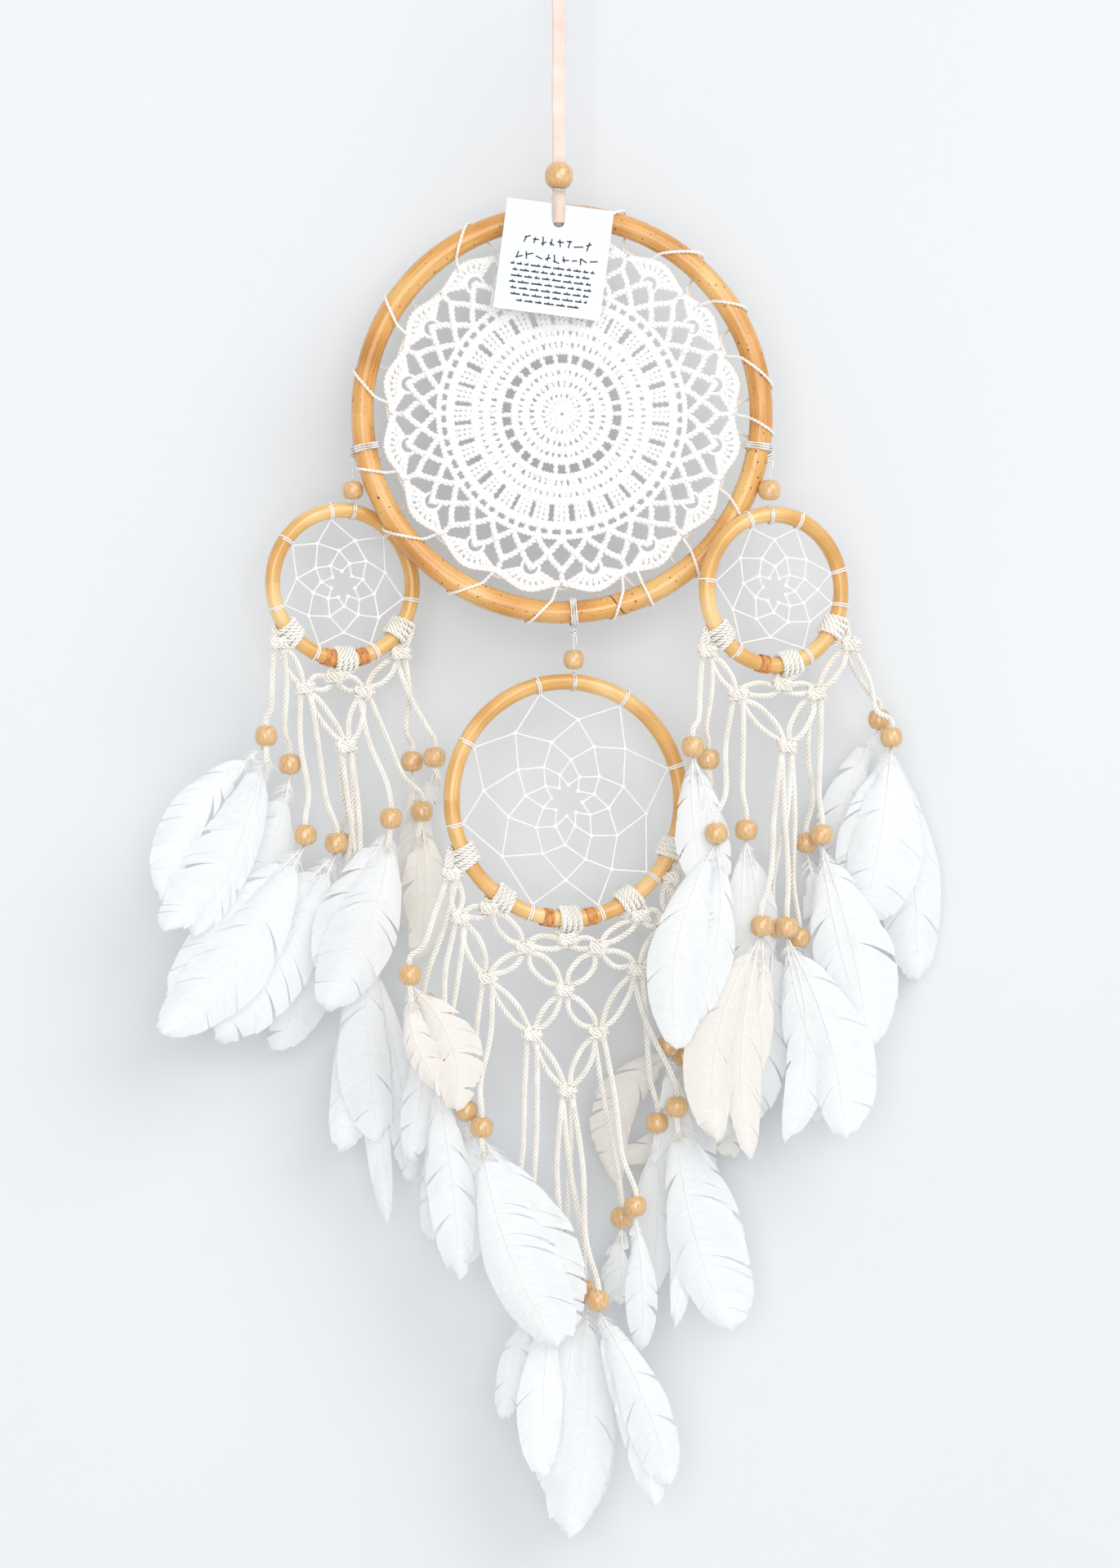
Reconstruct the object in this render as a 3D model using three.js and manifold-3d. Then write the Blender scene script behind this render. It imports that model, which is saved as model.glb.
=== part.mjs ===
import * as THREE from 'three';
import { mergeVertices } from 'three/addons/utils/BufferGeometryUtils.js';
import Module from 'manifold-3d';

const wasm = await Module();
wasm.setup();

// A dream catcher that hangs from a ribbon. Millimetres, +Z up, the viewer looks along +Y.
// The origin is the top of the ribbon's loop, where it hangs on a nail.

// Gaps
const gap = 0.3; // between neighbours that touch on the real object
const looseGap = 0.8; // round the cane, in a tie that rolls on it

// Ribbon, top bead and knot
const ribbonWidth = 7;
const ribbonThickness = 0.5;
const ribbonLoopRadius = 3.4;
const ribbonLoopLength = 30;
const topBeadHeight = 13;
const topBeadRadius = 7.5;
const topBeadZ = -113;
const knotRadius = 4.25;
const knotHeight = 6.6;
const knotTieRadius = 1.1;
const knotZ = topBeadZ - topBeadHeight / 2 - gap - knotHeight / 2;

// Big hoop
const mainRadius = 104;
const mainCane = 6; // radius of the cane
const mainTopZ = knotZ - knotHeight / 2 - mainCane - 1.2; // centre of the cane under the knot
const mainCentre = [1.5, mainTopZ - mainRadius];

// Tag
const tagWidth = 56;
const tagHeight = 57.6;
const tagThickness = 0.5;
const tagTilt = 7.4;
const tagHoleZ = mainTopZ - 5;
const tagHoleRadius = 3;
const tagCentre = [-2.7, tagHoleZ + 9.4 - tagHeight / 2];
const tagLoopWidth = 5;
const tagLoopThickness = 0.55;
const tagLoopPinch = 0.4; // between the card and the strip on each side

// Doily and its lashing
const fans = 16;
const doilyRadius = mainRadius - mainCane - 4;
const doilyValley = doilyRadius - 4;
const doilyThickness = 2;
const doilyEye = 3;
const fanHoleInset = 8; // from the doily's outer edge to the middle of a fan's hole
const fanHoleRadius = 4;
const lashingRadius = 0.8;

// Beads and feathers of the tassels
const beadRadius = 6;
const beadHeight = 10.6;
const beadBore = 2.2;
const featherThickness = 1.2;
const quillWidth = 1.4;
const quillInBead = 1.5;

// Macrame cord
const cordRadius = 1.5;
const knotSize = [8.6, 5.4, 7];
const hitchLength = 11;
const pairBow = 2;

// Threads
const hangerThread = 0.5;
const hangerWrap = 1; // radius of the wrapped threads, taken as one
const webThread = 0.4;
const bindingLength = 6;
const bindingThickness = 0.7;

// The three hoops that hang from the big one. Angles in degrees, counted from +X towards +Z in the hoop's plane.
const groups = [
  {
    name: 'left',
    threadX: -108,
    threadY: 3.5,
    yaw: 24,
    wrapAngle: -9.5,
    wrapSide: -1,
    knotZ: -259,
    bead: { z: -277.2, radius: 5.7, height: 9.5 },
    centre: [-113, -326.7],
    radius: 39,
    cane: 4,
    anchors: [48, 101, 145, 199, 247, 297, 349],
    hitches: [220, 270, 323],
    binding: 285.5,
    rows: [
      [[-145.4, -357.7], [-116.7, -375.3], [-83.4, -362.3]],
      [[-132, -381], [-102, -382.6]],
      [[-111.2, -411.4]],
    ],
  },
  {
    name: 'right',
    threadX: 110,
    threadY: -3.5,
    yaw: 24,
    wrapAngle: -9.5,
    wrapSide: 1,
    knotZ: -260.5,
    bead: { z: -277.6, radius: 6, height: 10.5 },
    centre: [112.6, -329.6],
    radius: 39.3,
    cane: 4.2,
    anchors: [16, 69, 113, 174, 235, 299, 349],
    hitches: [216, 281, 330.5],
    binding: 260,
    rows: [
      [[77, -362.3], [116.4, -379], [153.4, -357.7]],
      [[93.3, -384.6], [135, -383.6]],
      [[119.2, -411.4]],
    ],
  },
  {
    name: 'middle',
    threadX: 7.7,
    threadY: 0,
    yaw: 15,
    wrapAngle: -86.6,
    wrapSide: 1,
    knotZ: -352,
    bead: { z: -366, radius: 5.5, height: 10 },
    centre: [4.3, -439.6],
    radius: 62,
    cane: 4.2,
    anchors: [17, 60, 105, 151, 192, 251, 287, 319],
    hitches: [207, 235, 270.4, 302, 335.5],
    binding: 260,
    rows: [
      [[-55.5, -478], [-36, -495.7], [4.4, -512], [42.5, -500], [59, -480]],
      [[-51, -501], [-17.4, -516.5], [20.7, -517], [56, -504]],
      [[-37, -532], [2.8, -539], [41, -528.5]],
      [[-14, -562], [20.8, -561]],
      [[4.4, -591.6]],
    ],
  },
];

// The free strands: the knot each leaves (row, place in the row), its bead's place (x, z) and how far in
// front (-) or behind (+) its hoop's plane it hangs. A strand whose tassel is its own piece also names it,
// and gives its feather's tip (x, z) and width.
const strands = {
  left: [
    { from: [0, 0], bead: [-152, -406], tassel: 'left_1', tip: [-205, -508], width: 32 },
    { from: [0, 0], bead: [-140.5, -420.6], behind: 8 },
    { from: [1, 0], bead: [-132, -457.5], tassel: 'left_2', tip: [-207, -560], width: 36, behind: -2 },
    { from: [1, 0], bead: [-116.6, -462], tassel: 'left_3', tip: [-180, -564], width: 34, behind: 3 },
    { from: [2, 0], bead: [-113.6, -462.4], behind: 17 },
    { from: [2, 0], bead: [-108.5, -504], behind: 8 },
    { from: [2, 0], bead: [-102, -512], behind: 4 },
    { from: [2, 0], bead: [-98, -508], behind: -2 },
    { from: [1, 1], bead: [-87.6, -449], tassel: 'left_4', tip: [-121, -547], width: 38, behind: -18 },
    { from: [1, 1], bead: [-72.5, -445.5], tassel: 'left_5', tip: [-71.5, -524], width: 19, behind: 4 },
    { from: [0, 2], bead: [-65.8, -417], behind: 4 },
    { from: [0, 2], bead: [-78, -419], behind: 16 },
  ],
  right: [
    { from: [0, 0], bead: [69.4, -411.7] },
    { from: [0, 0], bead: [78, -418], behind: 13 },
    { from: [1, 0], bead: [81.7, -456.6], tassel: 'right_1', tip: [61, -569], width: 33 },
    { from: [1, 0], bead: [97.8, -455], behind: 6 },
    { from: [2, 0], bead: [105.6, -505], tassel: 'right_2', tip: [92, -620], width: 27, behind: -2 },
    { from: [2, 0], bead: [112.3, -506.4], behind: 12 },
    { from: [2, 0], bead: [119.3, -506], tassel: 'right_3', tip: [150, -617], width: 36, behind: 1 },
    { from: [2, 0], bead: [126.5, -512], behind: 16 },
    { from: [1, 1], bead: [130.7, -462], behind: 16 },
    { from: [1, 1], bead: [138.3, -457.7], tassel: 'right_4', tip: [163, -569], width: 38, behind: 2 },
    { from: [0, 2], bead: [170.3, -396.6], behind: 14 },
    { from: [0, 2], bead: [175.8, -406.3], tassel: 'right_5', tip: [161, -504], width: 38 },
  ],
  middle: [
    { from: [0, 0], bead: [-77, -529.7], tassel: 'middle_1', tip: [-53, -599], width: 26 },
    { from: [0, 0], bead: [-70, -545], behind: 12 },
    { from: [1, 0], bead: [-66, -572], behind: 6 },
    { from: [1, 0], bead: [-58, -580], behind: 14 },
    { from: [2, 0], bead: [-48, -601.4], behind: 8 },
    { from: [2, 0], bead: [-40, -609.3], tassel: 'middle_2', tip: [1, -723], width: 40, behind: -3 },
    { from: [3, 0], bead: [-22, -650], behind: 8 },
    { from: [3, 0], bead: [-12.4, -696], behind: 10 },
    { from: [4, 0], bead: [-3.6, -693.7], behind: 0 },
    { from: [4, 0], bead: [5, -694.7], behind: 12 },
    { from: [4, 0], bead: [13.3, -696.4], tassel: 'middle_3', tip: [5.6, -828], width: 38, behind: 4 },
    { from: [4, 0], bead: [20.4, -700.3], tassel: 'middle_4', tip: [57.6, -796], width: 26, behind: -9 },
    { from: [3, 1], bead: [33, -660], behind: 15 },
    { from: [3, 1], bead: [40, -652.4], behind: -2 },
    { from: [2, 2], bead: [62, -601], tassel: 'middle_5', tip: [90, -718], width: 40 },
    { from: [2, 2], bead: [52, -610], behind: 12 },
    { from: [1, 3], bead: [57.6, -569], behind: 6 },
    { from: [1, 3], bead: [66, -575], behind: 14 },
    { from: [0, 4], bead: [76.3, -563], behind: 10 },
    { from: [0, 4], bead: [80, -545], behind: 0 },
  ],
};

const radians = THREE.MathUtils.degToRad;
const point = (x, y, z) => new THREE.Vector3(x, y, z);

// The angle on the big hoop where a group's thread is wrapped, from 0 to 360.
const wrapAngleOf = (group) => (360 + (group.wrapSide > 0 ? group.wrapAngle : 180 - group.wrapAngle)) % 360;

// The groups and strands above were drawn for a big hoop and beads of these sizes. A group moves with the
// spot where its thread is wrapped, and bigger beads need more room between front and back.
const drawn = { centreZ: -237.6, outside: 110, cane: 6, beadRadius: 6 };

function hang(group) {
  const angle = radians(wrapAngleOf(group));
  const grown = mainRadius + mainCane - drawn.outside;
  const right = grown * Math.cos(angle);
  const up = mainCentre[1] - drawn.centreZ + grown * Math.sin(angle);
  const moved = ([x, z]) => [x + right, z + up];
  group.threadX += right;
  group.threadY += Math.sign(group.threadY) * (0.2 * grown + mainCane - drawn.cane);
  group.knotZ += up;
  group.bead.z += up;
  group.centre = moved(group.centre);
  group.rows = group.rows.map((row) => row.map(moved));
  strands[group.name].forEach((strand) => {
    strand.bead = moved(strand.bead);
    strand.behind = ((strand.behind ?? 0) * beadRadius) / drawn.beadRadius;
    if (strand.tip) strand.tip = moved(strand.tip);
  });
}

groups.forEach(hang);

// A route through its points, one step from each to the next.
class Route extends THREE.Curve {
  constructor(points) {
    super();
    this.points = points;
  }

  getPoint(t, target = new THREE.Vector3()) {
    const place = THREE.MathUtils.clamp(t, 0, 1) * (this.points.length - 1);
    const index = Math.min(Math.floor(place), this.points.length - 2);
    return target.lerpVectors(this.points[index], this.points[index + 1], place - index);
  }

  getPointAt(u, target) {
    return this.getPoint(u, target);
  }

  getTangentAt(u, target) {
    return this.getTangent(u, target);
  }
}

function polygon(sides, radius, turn = 0) {
  const corners = [];
  for (let i = 0; i < sides; i += 1) {
    const angle = (2 * Math.PI * i) / sides + turn;
    corners.push(new THREE.Vector2(radius * Math.cos(angle), radius * Math.sin(angle)));
  }
  return corners;
}

function tube(points, radius, sides = 4) {
  const section = new THREE.Shape(polygon(sides, radius));
  return new THREE.ExtrudeGeometry(section, {
    steps: points.length - 1,
    bevelEnabled: false,
    extrudePath: new Route(points),
  });
}

// An outline in X and Z, given its thickness in Y about y = 0.
function slab(shape, thickness, curveSegments = 4) {
  const geometry = new THREE.ExtrudeGeometry(shape, { depth: thickness, bevelEnabled: false, curveSegments });
  return geometry.rotateX(Math.PI / 2).translate(0, thickness / 2, 0);
}

// An outline in Y and Z, given its width in X about x = 0.
function band(outline, hole, width) {
  const [edge, inner] = [outline, hole].map((side) => {
    const corners = side.map(([y, z]) => new THREE.Vector2(y, z));
    return THREE.ShapeUtils.isClockWise(corners) ? corners.reverse() : corners;
  });
  const shape = new THREE.Shape(edge);
  shape.holes.push(new THREE.Path(inner));
  const geometry = new THREE.ExtrudeGeometry(shape, { depth: width, bevelEnabled: false });
  return geometry.rotateX(Math.PI / 2).rotateZ(Math.PI / 2).translate(-width / 2, 0, 0);
}

function toSolid(geometry) {
  const bare = geometry.clone();
  bare.deleteAttribute('normal');
  bare.deleteAttribute('uv');
  const merged = mergeVertices(bare, 1e-4);
  return new wasm.Manifold(new wasm.Mesh({
    numProp: 3,
    vertProperties: new Float32Array(merged.attributes.position.array),
    triVerts: new Uint32Array(merged.index.array),
  }));
}

function toGeometry(solid) {
  const mesh = solid.getMesh();
  const geometry = new THREE.BufferGeometry();
  geometry.setAttribute('position', new THREE.BufferAttribute(mesh.vertProperties, mesh.numProp));
  geometry.setIndex(new THREE.BufferAttribute(mesh.triVerts, 1));
  geometry.computeVertexNormals();
  return geometry;
}

function joined(geometries) {
  return geometries.map(toSolid).reduce((all, next) => all.add(next));
}

// The piece without the crumbs that a cut or join can leave.
function largestOf(solid) {
  const bodies = solid.decompose();
  return bodies.reduce((most, next) => (next.volume() > most.volume() ? next : most));
}

function beadShape(radius, height, bore, segments = 8) {
  const half = height / 2;
  const profile = [
    [bore, -half],
    [radius * 0.74, -half * 0.8],
    [radius, 0],
    [radius * 0.74, half * 0.8],
    [bore, half],
    [bore, -half],
  ];
  const points = profile.map(([r, z]) => new THREE.Vector2(r, z));
  return new THREE.LatheGeometry(points, segments).rotateX(Math.PI / 2);
}

// A ring of wrapped thread or cord round a cane: its hole clears the cane by the room given.
function wrapRing(cane, wrap, room, segments = 8, sides = 4) {
  const radius = (cane + room + wrap) / Math.cos(Math.PI / segments);
  return new THREE.TorusGeometry(radius, wrap, sides, segments);
}

// Turns a ring or sleeve, made about Z, so that it lies round a hoop's cane at an angle of the hoop.
function roundCane(geometry, radius, angle) {
  geometry.rotateY(radians(-angle));
  return geometry.translate(radius * Math.cos(radians(angle)), 0, radius * Math.sin(radians(angle)));
}

const materials = {
  ribbon: { color: 0xefddd3, roughness: 0.6 },
  bead: { color: 0xddb06e, roughness: 0.35 },
  cord: { color: 0xf1ece4, roughness: 0.9 },
  card: { color: 0xf4f5fa, roughness: 0.6 },
  cane: { color: 0xdda254, roughness: 0.35 },
  cotton: { color: 0xf4f3f0, roughness: 0.95 },
  thread: { color: 0xf2f2f2, roughness: 0.6 },
  peel: { color: 0xd98f45, roughness: 0.5 },
  feather: { color: 0xf6f7f9, roughness: 0.8 },
};

const dreamCatcher = new THREE.Group();
dreamCatcher.name = 'dream_catcher';

function addPiece(name, geometry, finish, parent = dreamCatcher) {
  const material = new THREE.MeshStandardMaterial({ ...materials[finish], metalness: 0 });
  const mesh = new THREE.Mesh(geometry, material);
  mesh.name = name;
  parent.add(mesh);
  return mesh;
}

function addRibbon() {
  const flat = ribbonThickness + gap / 2; // half the thickness of the doubled ribbon
  const end = topBeadZ - topBeadHeight / 2;
  const outline = [[-flat, end]];
  const hole = [[-gap / 2, end + 2]];
  outline.push([-flat, -ribbonLoopLength]);
  hole.push([-gap / 2, -ribbonLoopLength]);
  const turns = 8;
  for (let i = 0; i <= turns; i += 1) {
    const angle = Math.PI - (Math.PI * i) / turns;
    const inner = ribbonLoopRadius - ribbonThickness;
    outline.push([
      ribbonLoopRadius * Math.cos(angle),
      ribbonLoopRadius * Math.sin(angle) - ribbonLoopRadius,
    ]);
    hole.push([inner * Math.cos(angle), inner * Math.sin(angle) - ribbonLoopRadius]);
  }
  outline.push([flat, -ribbonLoopLength], [flat, end]);
  hole.push([gap / 2, -ribbonLoopLength], [gap / 2, end + 2]);
  addPiece('hanging_ribbon', band(outline, hole, ribbonWidth), 'ribbon');
}

function addTopBead() {
  const bore = Math.hypot(ribbonWidth / 2, ribbonThickness + gap / 2) / Math.cos(Math.PI / 12) + gap;
  const bead = addPiece('top_bead', beadShape(topBeadRadius, topBeadHeight, bore, 12), 'bead');
  bead.position.z = topBeadZ;
}

function addRibbonKnot() {
  const knot = new THREE.SphereGeometry(1, 10, 6);
  knot.scale(knotRadius, knotRadius * 0.9, knotHeight / 2).translate(0, 0, knotZ);
  const tie = wrapRing(mainCane, knotTieRadius, looseGap);
  tie.rotateY(Math.PI / 2).translate(0, 0, mainTopZ);
  addPiece('ribbon_knot', toGeometry(joined([knot, tie])), 'cord');
}

function addTag() {
  const tieFront = (mainCane + looseGap + knotTieRadius) / Math.cos(Math.PI / 8) + knotTieRadius;
  const inside = tagThickness / 2 + tagLoopPinch;
  const outside = inside + tagLoopThickness;
  const tagY = -(tieFront + gap + outside);
  const rear = -knotRadius - gap;
  const strip = tagLoopThickness;
  const bend = mainTopZ + mainCane + 1; // the strip comes forward over the cane here
  const outline = [
    [rear, knotZ + 2],
    [tagY - outside, bend],
    [tagY - outside, tagHoleZ],
    [tagY - inside, tagHoleZ - strip],
    [tagY + inside, tagHoleZ - strip],
    [tagY + outside, tagHoleZ],
    [tagY + outside, bend - 1.5],
    [rear, knotZ - 0.6],
  ];
  const hole = [
    [rear - strip, knotZ + 2 - strip * 1.6],
    [tagY - inside, bend - strip * 0.7],
    [tagY - inside, tagHoleZ + strip * 0.3],
    [tagY + inside, tagHoleZ + strip * 0.3],
    [tagY + inside, bend - 1.5 + strip * 0.7],
    [rear - strip, knotZ - 0.6 + strip * 0.5],
  ];
  addPiece('tag_loop', band(outline, hole, tagLoopWidth), 'ribbon');
  const tilt = radians(-tagTilt);
  const card = new THREE.Shape([
    new THREE.Vector2(-tagWidth / 2, -tagHeight / 2),
    new THREE.Vector2(tagWidth / 2, -tagHeight / 2),
    new THREE.Vector2(tagWidth / 2, tagHeight / 2),
    new THREE.Vector2(-tagWidth / 2, tagHeight / 2),
  ]);
  const holeAt = new THREE.Vector2(-tagCentre[0], tagHoleZ - tagCentre[1]);
  holeAt.rotateAround(new THREE.Vector2(), -tilt);
  card.holes.push(new THREE.Path(polygon(10, tagHoleRadius).map((corner) => corner.add(holeAt))));
  const tag = addPiece('tag', slab(card, tagThickness), 'card');
  tag.position.set(tagCentre[0], tagY, tagCentre[1]);
  tag.rotation.y = -tilt;
}

function addMainHoop() {
  const hoop = new THREE.TorusGeometry(mainRadius, mainCane, 8, 48).rotateX(Math.PI / 2);
  addPiece('main_hoop', hoop, 'cane').position.set(mainCentre[0], 0, mainCentre[1]);
}

const fanHoleAt = doilyRadius - fanHoleInset;

function addDoily() {
  const edge = [];
  const stepsPerFan = 3;
  for (let i = 0; i < fans * stepsPerFan; i += 1) {
    const swell = Math.sin((Math.PI * (i % stepsPerFan)) / stepsPerFan);
    const radius = doilyValley + (doilyRadius - doilyValley) * swell;
    const angle = (2 * Math.PI * i) / (fans * stepsPerFan);
    edge.push(new THREE.Vector2(radius * Math.cos(angle), radius * Math.sin(angle)));
  }
  const doily = new THREE.Shape(edge);
  const cut = (at, count, turn, corners) => {
    for (let i = 0; i < count; i += 1) {
      const angle = (2 * Math.PI * (i + turn)) / count;
      const moved = corners.map(([r, s]) => new THREE.Vector2(at + r, s).rotateAround(new THREE.Vector2(), angle));
      doily.holes.push(new THREE.Path(moved));
    }
  };
  const diamond = (long, wide) => [[-long, 0], [0, -wide], [long, 0], [0, wide]];
  doily.holes.push(new THREE.Path(polygon(8, doilyEye)));
  cut(doilyRadius * 0.303, 24, 0, [[-3, -1.6], [3, -2], [3, 2], [-3, 1.6]]);
  cut(doilyRadius * 0.766, 32, 0.5, diamond(4.5, 3.6));
  cut(fanHoleAt, fans, 0.5, polygon(6, fanHoleRadius).map((corner) => [corner.x, corner.y]));
  addPiece('doily', slab(doily, doilyThickness), 'cotton').position.set(mainCentre[0], 0, mainCentre[1]);
}

// The cord winds from fan to fan, starting beside the ribbon's knot. Where something else is tied to the
// hoop it stays on the doily until the next fan.
function addLashing() {
  const reach = mainRadius - fanHoleAt;
  const round = (mainCane + gap + lashingRadius) / Math.cos(Math.PI / 8);
  const slope = round / Math.SQRT2;
  const face = doilyThickness / 2 + gap + lashingRadius;
  const wound = [
    [0, -reach, -face],
    [0.125, -slope, -slope - 1.2],
    [0.25, 0, -round],
    [0.375, slope, -slope],
    [0.5, round, 0],
    [0.625, slope, slope],
    [0.75, 0, round],
    [0.875, -slope, slope + 1.2],
    [1, -reach, face],
  ];
  const straight = [[0, -reach, -face], [0.5, -reach, -face]];
  const pitch = 360 / fans;
  const topFan = Math.ceil(90 / pitch - 0.5);
  const tied = [90, ...groups.map(wrapAngleOf)];
  const points = [];
  for (let i = 0; i < fans - 1; i += 1) {
    const start = pitch * (topFan + i + 0.5);
    const holds = tied.some((angle) => (angle - start + 720) % 360 < pitch);
    (holds ? straight : wound).forEach(([share, out, y]) => {
      const angle = radians(start + pitch * share);
      const radius = mainRadius + out;
      points.push(point(radius * Math.cos(angle), y, radius * Math.sin(angle)));
    });
  }
  addPiece('lashing_cord', tube(points, lashingRadius, 3), 'cord').position.set(mainCentre[0], 0, mainCentre[1]);
}

// A point at a place across a hoop's yawed plane, moved in front of it (-) or behind it (+).
function onPlane(group, x, z, behind = 0) {
  return point(x, group.threadY + (x - group.threadX) * Math.tan(radians(group.yaw)) + behind, z);
}

// Places a shape, made about the hoop's centre, in the hoop's yawed plane.
function inPlane(group, geometry) {
  const centre = onPlane(group, group.centre[0], group.centre[1]);
  return geometry.rotateZ(radians(group.yaw)).translate(centre.x, centre.y, centre.z);
}

function caneTorus(group, radius) {
  const torus = new THREE.TorusGeometry(group.radius, radius, 8, 28).rotateX(Math.PI / 2);
  return inPlane(group, torus);
}

function ringOn(group, geometry, angle) {
  return inPlane(group, roundCane(geometry, group.radius, angle));
}

function tieAngle(group) {
  const across = (group.threadX - group.centre[0]) / Math.cos(radians(group.yaw));
  return THREE.MathUtils.radToDeg(Math.acos(across / group.radius));
}

function addHanger(group) {
  const name = group.name;
  const beadBottom = group.bead.z - group.bead.height / 2;
  const side = mainCane + looseGap + hangerWrap;
  const sideways = wrapAngleOf(group);
  const ring = roundCane(wrapRing(mainCane, hangerWrap, looseGap), mainRadius, 0);
  ring.rotateY(radians(-sideways)).translate(mainCentre[0], 0, mainCentre[1]);
  const start = radians(sideways);
  const out = mainRadius + side;
  const from = point(mainCentre[0] + out * Math.cos(start), 0, mainCentre[1] + out * Math.sin(start));
  const knot = point(group.threadX, group.threadY, group.knotZ);
  const lead = tube([from, knot], hangerThread * 2, 5);
  const ball = new THREE.OctahedronGeometry(hangerWrap * 1.8, 1).translate(knot.x, knot.y, knot.z);
  const down = tube([knot, point(group.threadX, group.threadY, beadBottom)], hangerThread, 5);
  addPiece(`${name}_hanger_thread`, toGeometry(joined([ring, lead, ball, down])), 'thread');
  const bead = beadShape(group.bead.radius, group.bead.height, hangerThread + looseGap);
  addPiece(`${name}_hanger_bead`, bead, 'bead').position.set(group.threadX, group.threadY, group.bead.z);
}

function addHoop(group) {
  const name = group.name;
  addPiece(`${name}_hoop`, caneTorus(group, group.cane), 'cane');
  const tie = wrapRing(group.cane, hangerWrap / 2, gap);
  addPiece(`${name}_top_tie`, ringOn(group, tie, tieAngle(group)), 'thread');
  const peel = new THREE.CylinderGeometry(
    group.cane + gap + bindingThickness,
    group.cane + gap + bindingThickness,
    bindingLength,
    10,
  );
  const binding = toSolid(ringOn(group, peel.rotateX(Math.PI / 2), group.binding));
  addPiece(
    `${name}_splice_binding`,
    toGeometry(binding.subtract(toSolid(caneTorus(group, group.cane + gap)))),
    'peel',
  );
}

// The net of one thread: each row hangs from the middles of the row outside it.
function addWeb(group) {
  const centre = onPlane(group, group.centre[0], group.centre[1]);
  const spin = new THREE.Euler(0, 0, radians(group.yaw));
  const at = (radius, degrees) => {
    const angle = radians(degrees);
    return point(radius * Math.cos(angle), 0, radius * Math.sin(angle)).applyEuler(spin).add(centre);
  };
  const inside = group.radius - group.cane - gap - webThread;
  const shares = [1, 0.62, 0.3];
  const parts = [];
  let angles = group.anchors;
  let row = angles.map((angle) => at(inside, angle));
  shares.slice(1).forEach((share) => {
    const count = angles.length;
    const middles = angles.map((angle, i) => {
      const next = angles[(i + 1) % count];
      return (angle + next + (next < angle ? 360 : 0)) / 2;
    });
    const inner = middles.map((angle) => at(inside * share, angle));
    const zigzag = inner.flatMap((knot, i) => [row[i], knot]);
    const half = 2 * Math.floor(count / 2);
    parts.push(tube(zigzag.slice(0, half + 1), webThread, 3));
    parts.push(tube([...zigzag.slice(half), row[0]], webThread, 3));
    angles = middles;
    row = inner;
  });
  group.anchors.forEach((angle) => {
    parts.push(ringOn(group, wrapRing(group.cane, webThread, gap, 6, 3), angle));
  });
  addPiece(`${group.name}_web`, toGeometry(largestOf(joined(parts))), 'thread');
}

// Two cords that bow apart between two knots.
function cordPair(from, to) {
  const along = to.clone().sub(from).normalize();
  const across = along.clone().cross(point(0, 1, 0)).normalize();
  return [-1, 1].map((side) => {
    const middle = from.clone().lerp(to, 0.5).addScaledVector(across, side * pairBow);
    return tube([from, middle, to], cordRadius, 3);
  });
}

function beadCentre(group, strand) {
  return onPlane(group, strand.bead[0], strand.bead[1], strand.behind);
}

// A free strand leaves its knot sideways, hangs, and ends on its bead.
function strandTube(group, strand, order) {
  const [row, place] = strand.from;
  const [knotX, knotAtZ] = group.rows[row][place];
  const knot = onPlane(group, knotX, knotAtZ);
  const end = beadCentre(group, strand);
  end.z += beadHeight / 2 + gap;
  const lean = (order % 2 === 0 ? -1 : 1) * 1.2;
  const third = knot.clone().lerp(end, 0.35).add(point(lean, 0, -2));
  const low = end.clone().add(point(0, 0, 4));
  return tube([knot, third, low, end], cordRadius, 3);
}

function addMacrame(group) {
  const centre = onPlane(group, group.centre[0], group.centre[1]);
  const spin = new THREE.Euler(0, 0, radians(group.yaw));
  const parts = [];
  const wall = group.cane + gap + cordRadius;
  group.hitches.forEach((angle, i) => {
    const sleeve = new THREE.CylinderGeometry(wall + cordRadius, wall + cordRadius, hitchLength, 8);
    parts.push(ringOn(group, sleeve.rotateX(Math.PI / 2), angle));
    const out = group.radius + wall;
    const from = point(out * Math.cos(radians(angle)), 0, out * Math.sin(radians(angle)));
    from.applyEuler(spin).add(centre);
    const [x, z] = group.rows[0][i];
    parts.push(...cordPair(from, onPlane(group, x, z)));
  });
  group.rows.forEach((row, r) => {
    row.forEach(([x, z], i) => {
      const knot = new THREE.BoxGeometry(...knotSize);
      const place = onPlane(group, x, z);
      parts.push(knot.translate(place.x, place.y, place.z));
      if (r > 0) {
        [group.rows[r - 1][i], group.rows[r - 1][i + 1]].forEach(([upX, upZ]) => {
          parts.push(...cordPair(onPlane(group, upX, upZ), place));
        });
      }
    });
  });
  strands[group.name].forEach((strand, order) => parts.push(strandTube(group, strand, order)));
  const net = joined(parts).subtract(toSolid(caneTorus(group, group.cane + gap)));
  addPiece(`${group.name}_macrame`, toGeometry(largestOf(net)), 'cord');
}

function featherShape(length, width) {
  const half = width / 2;
  const stem = quillWidth / 2;
  const vane = -quillInBead - 4;
  const shape = new THREE.Shape();
  shape.moveTo(-stem, 0);
  shape.lineTo(-stem, vane);
  shape.bezierCurveTo(-half * 0.9, vane - 6, -half, -length * 0.35, -half, -length * 0.55);
  shape.bezierCurveTo(-half, -length * 0.75, -half * 0.6, -length * 0.92, 0, -length);
  shape.bezierCurveTo(half * 0.6, -length * 0.92, half, -length * 0.75, half, -length * 0.55);
  shape.bezierCurveTo(half, -length * 0.35, half * 0.9, vane - 6, stem, vane);
  shape.lineTo(stem, 0);
  return shape;
}

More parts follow.
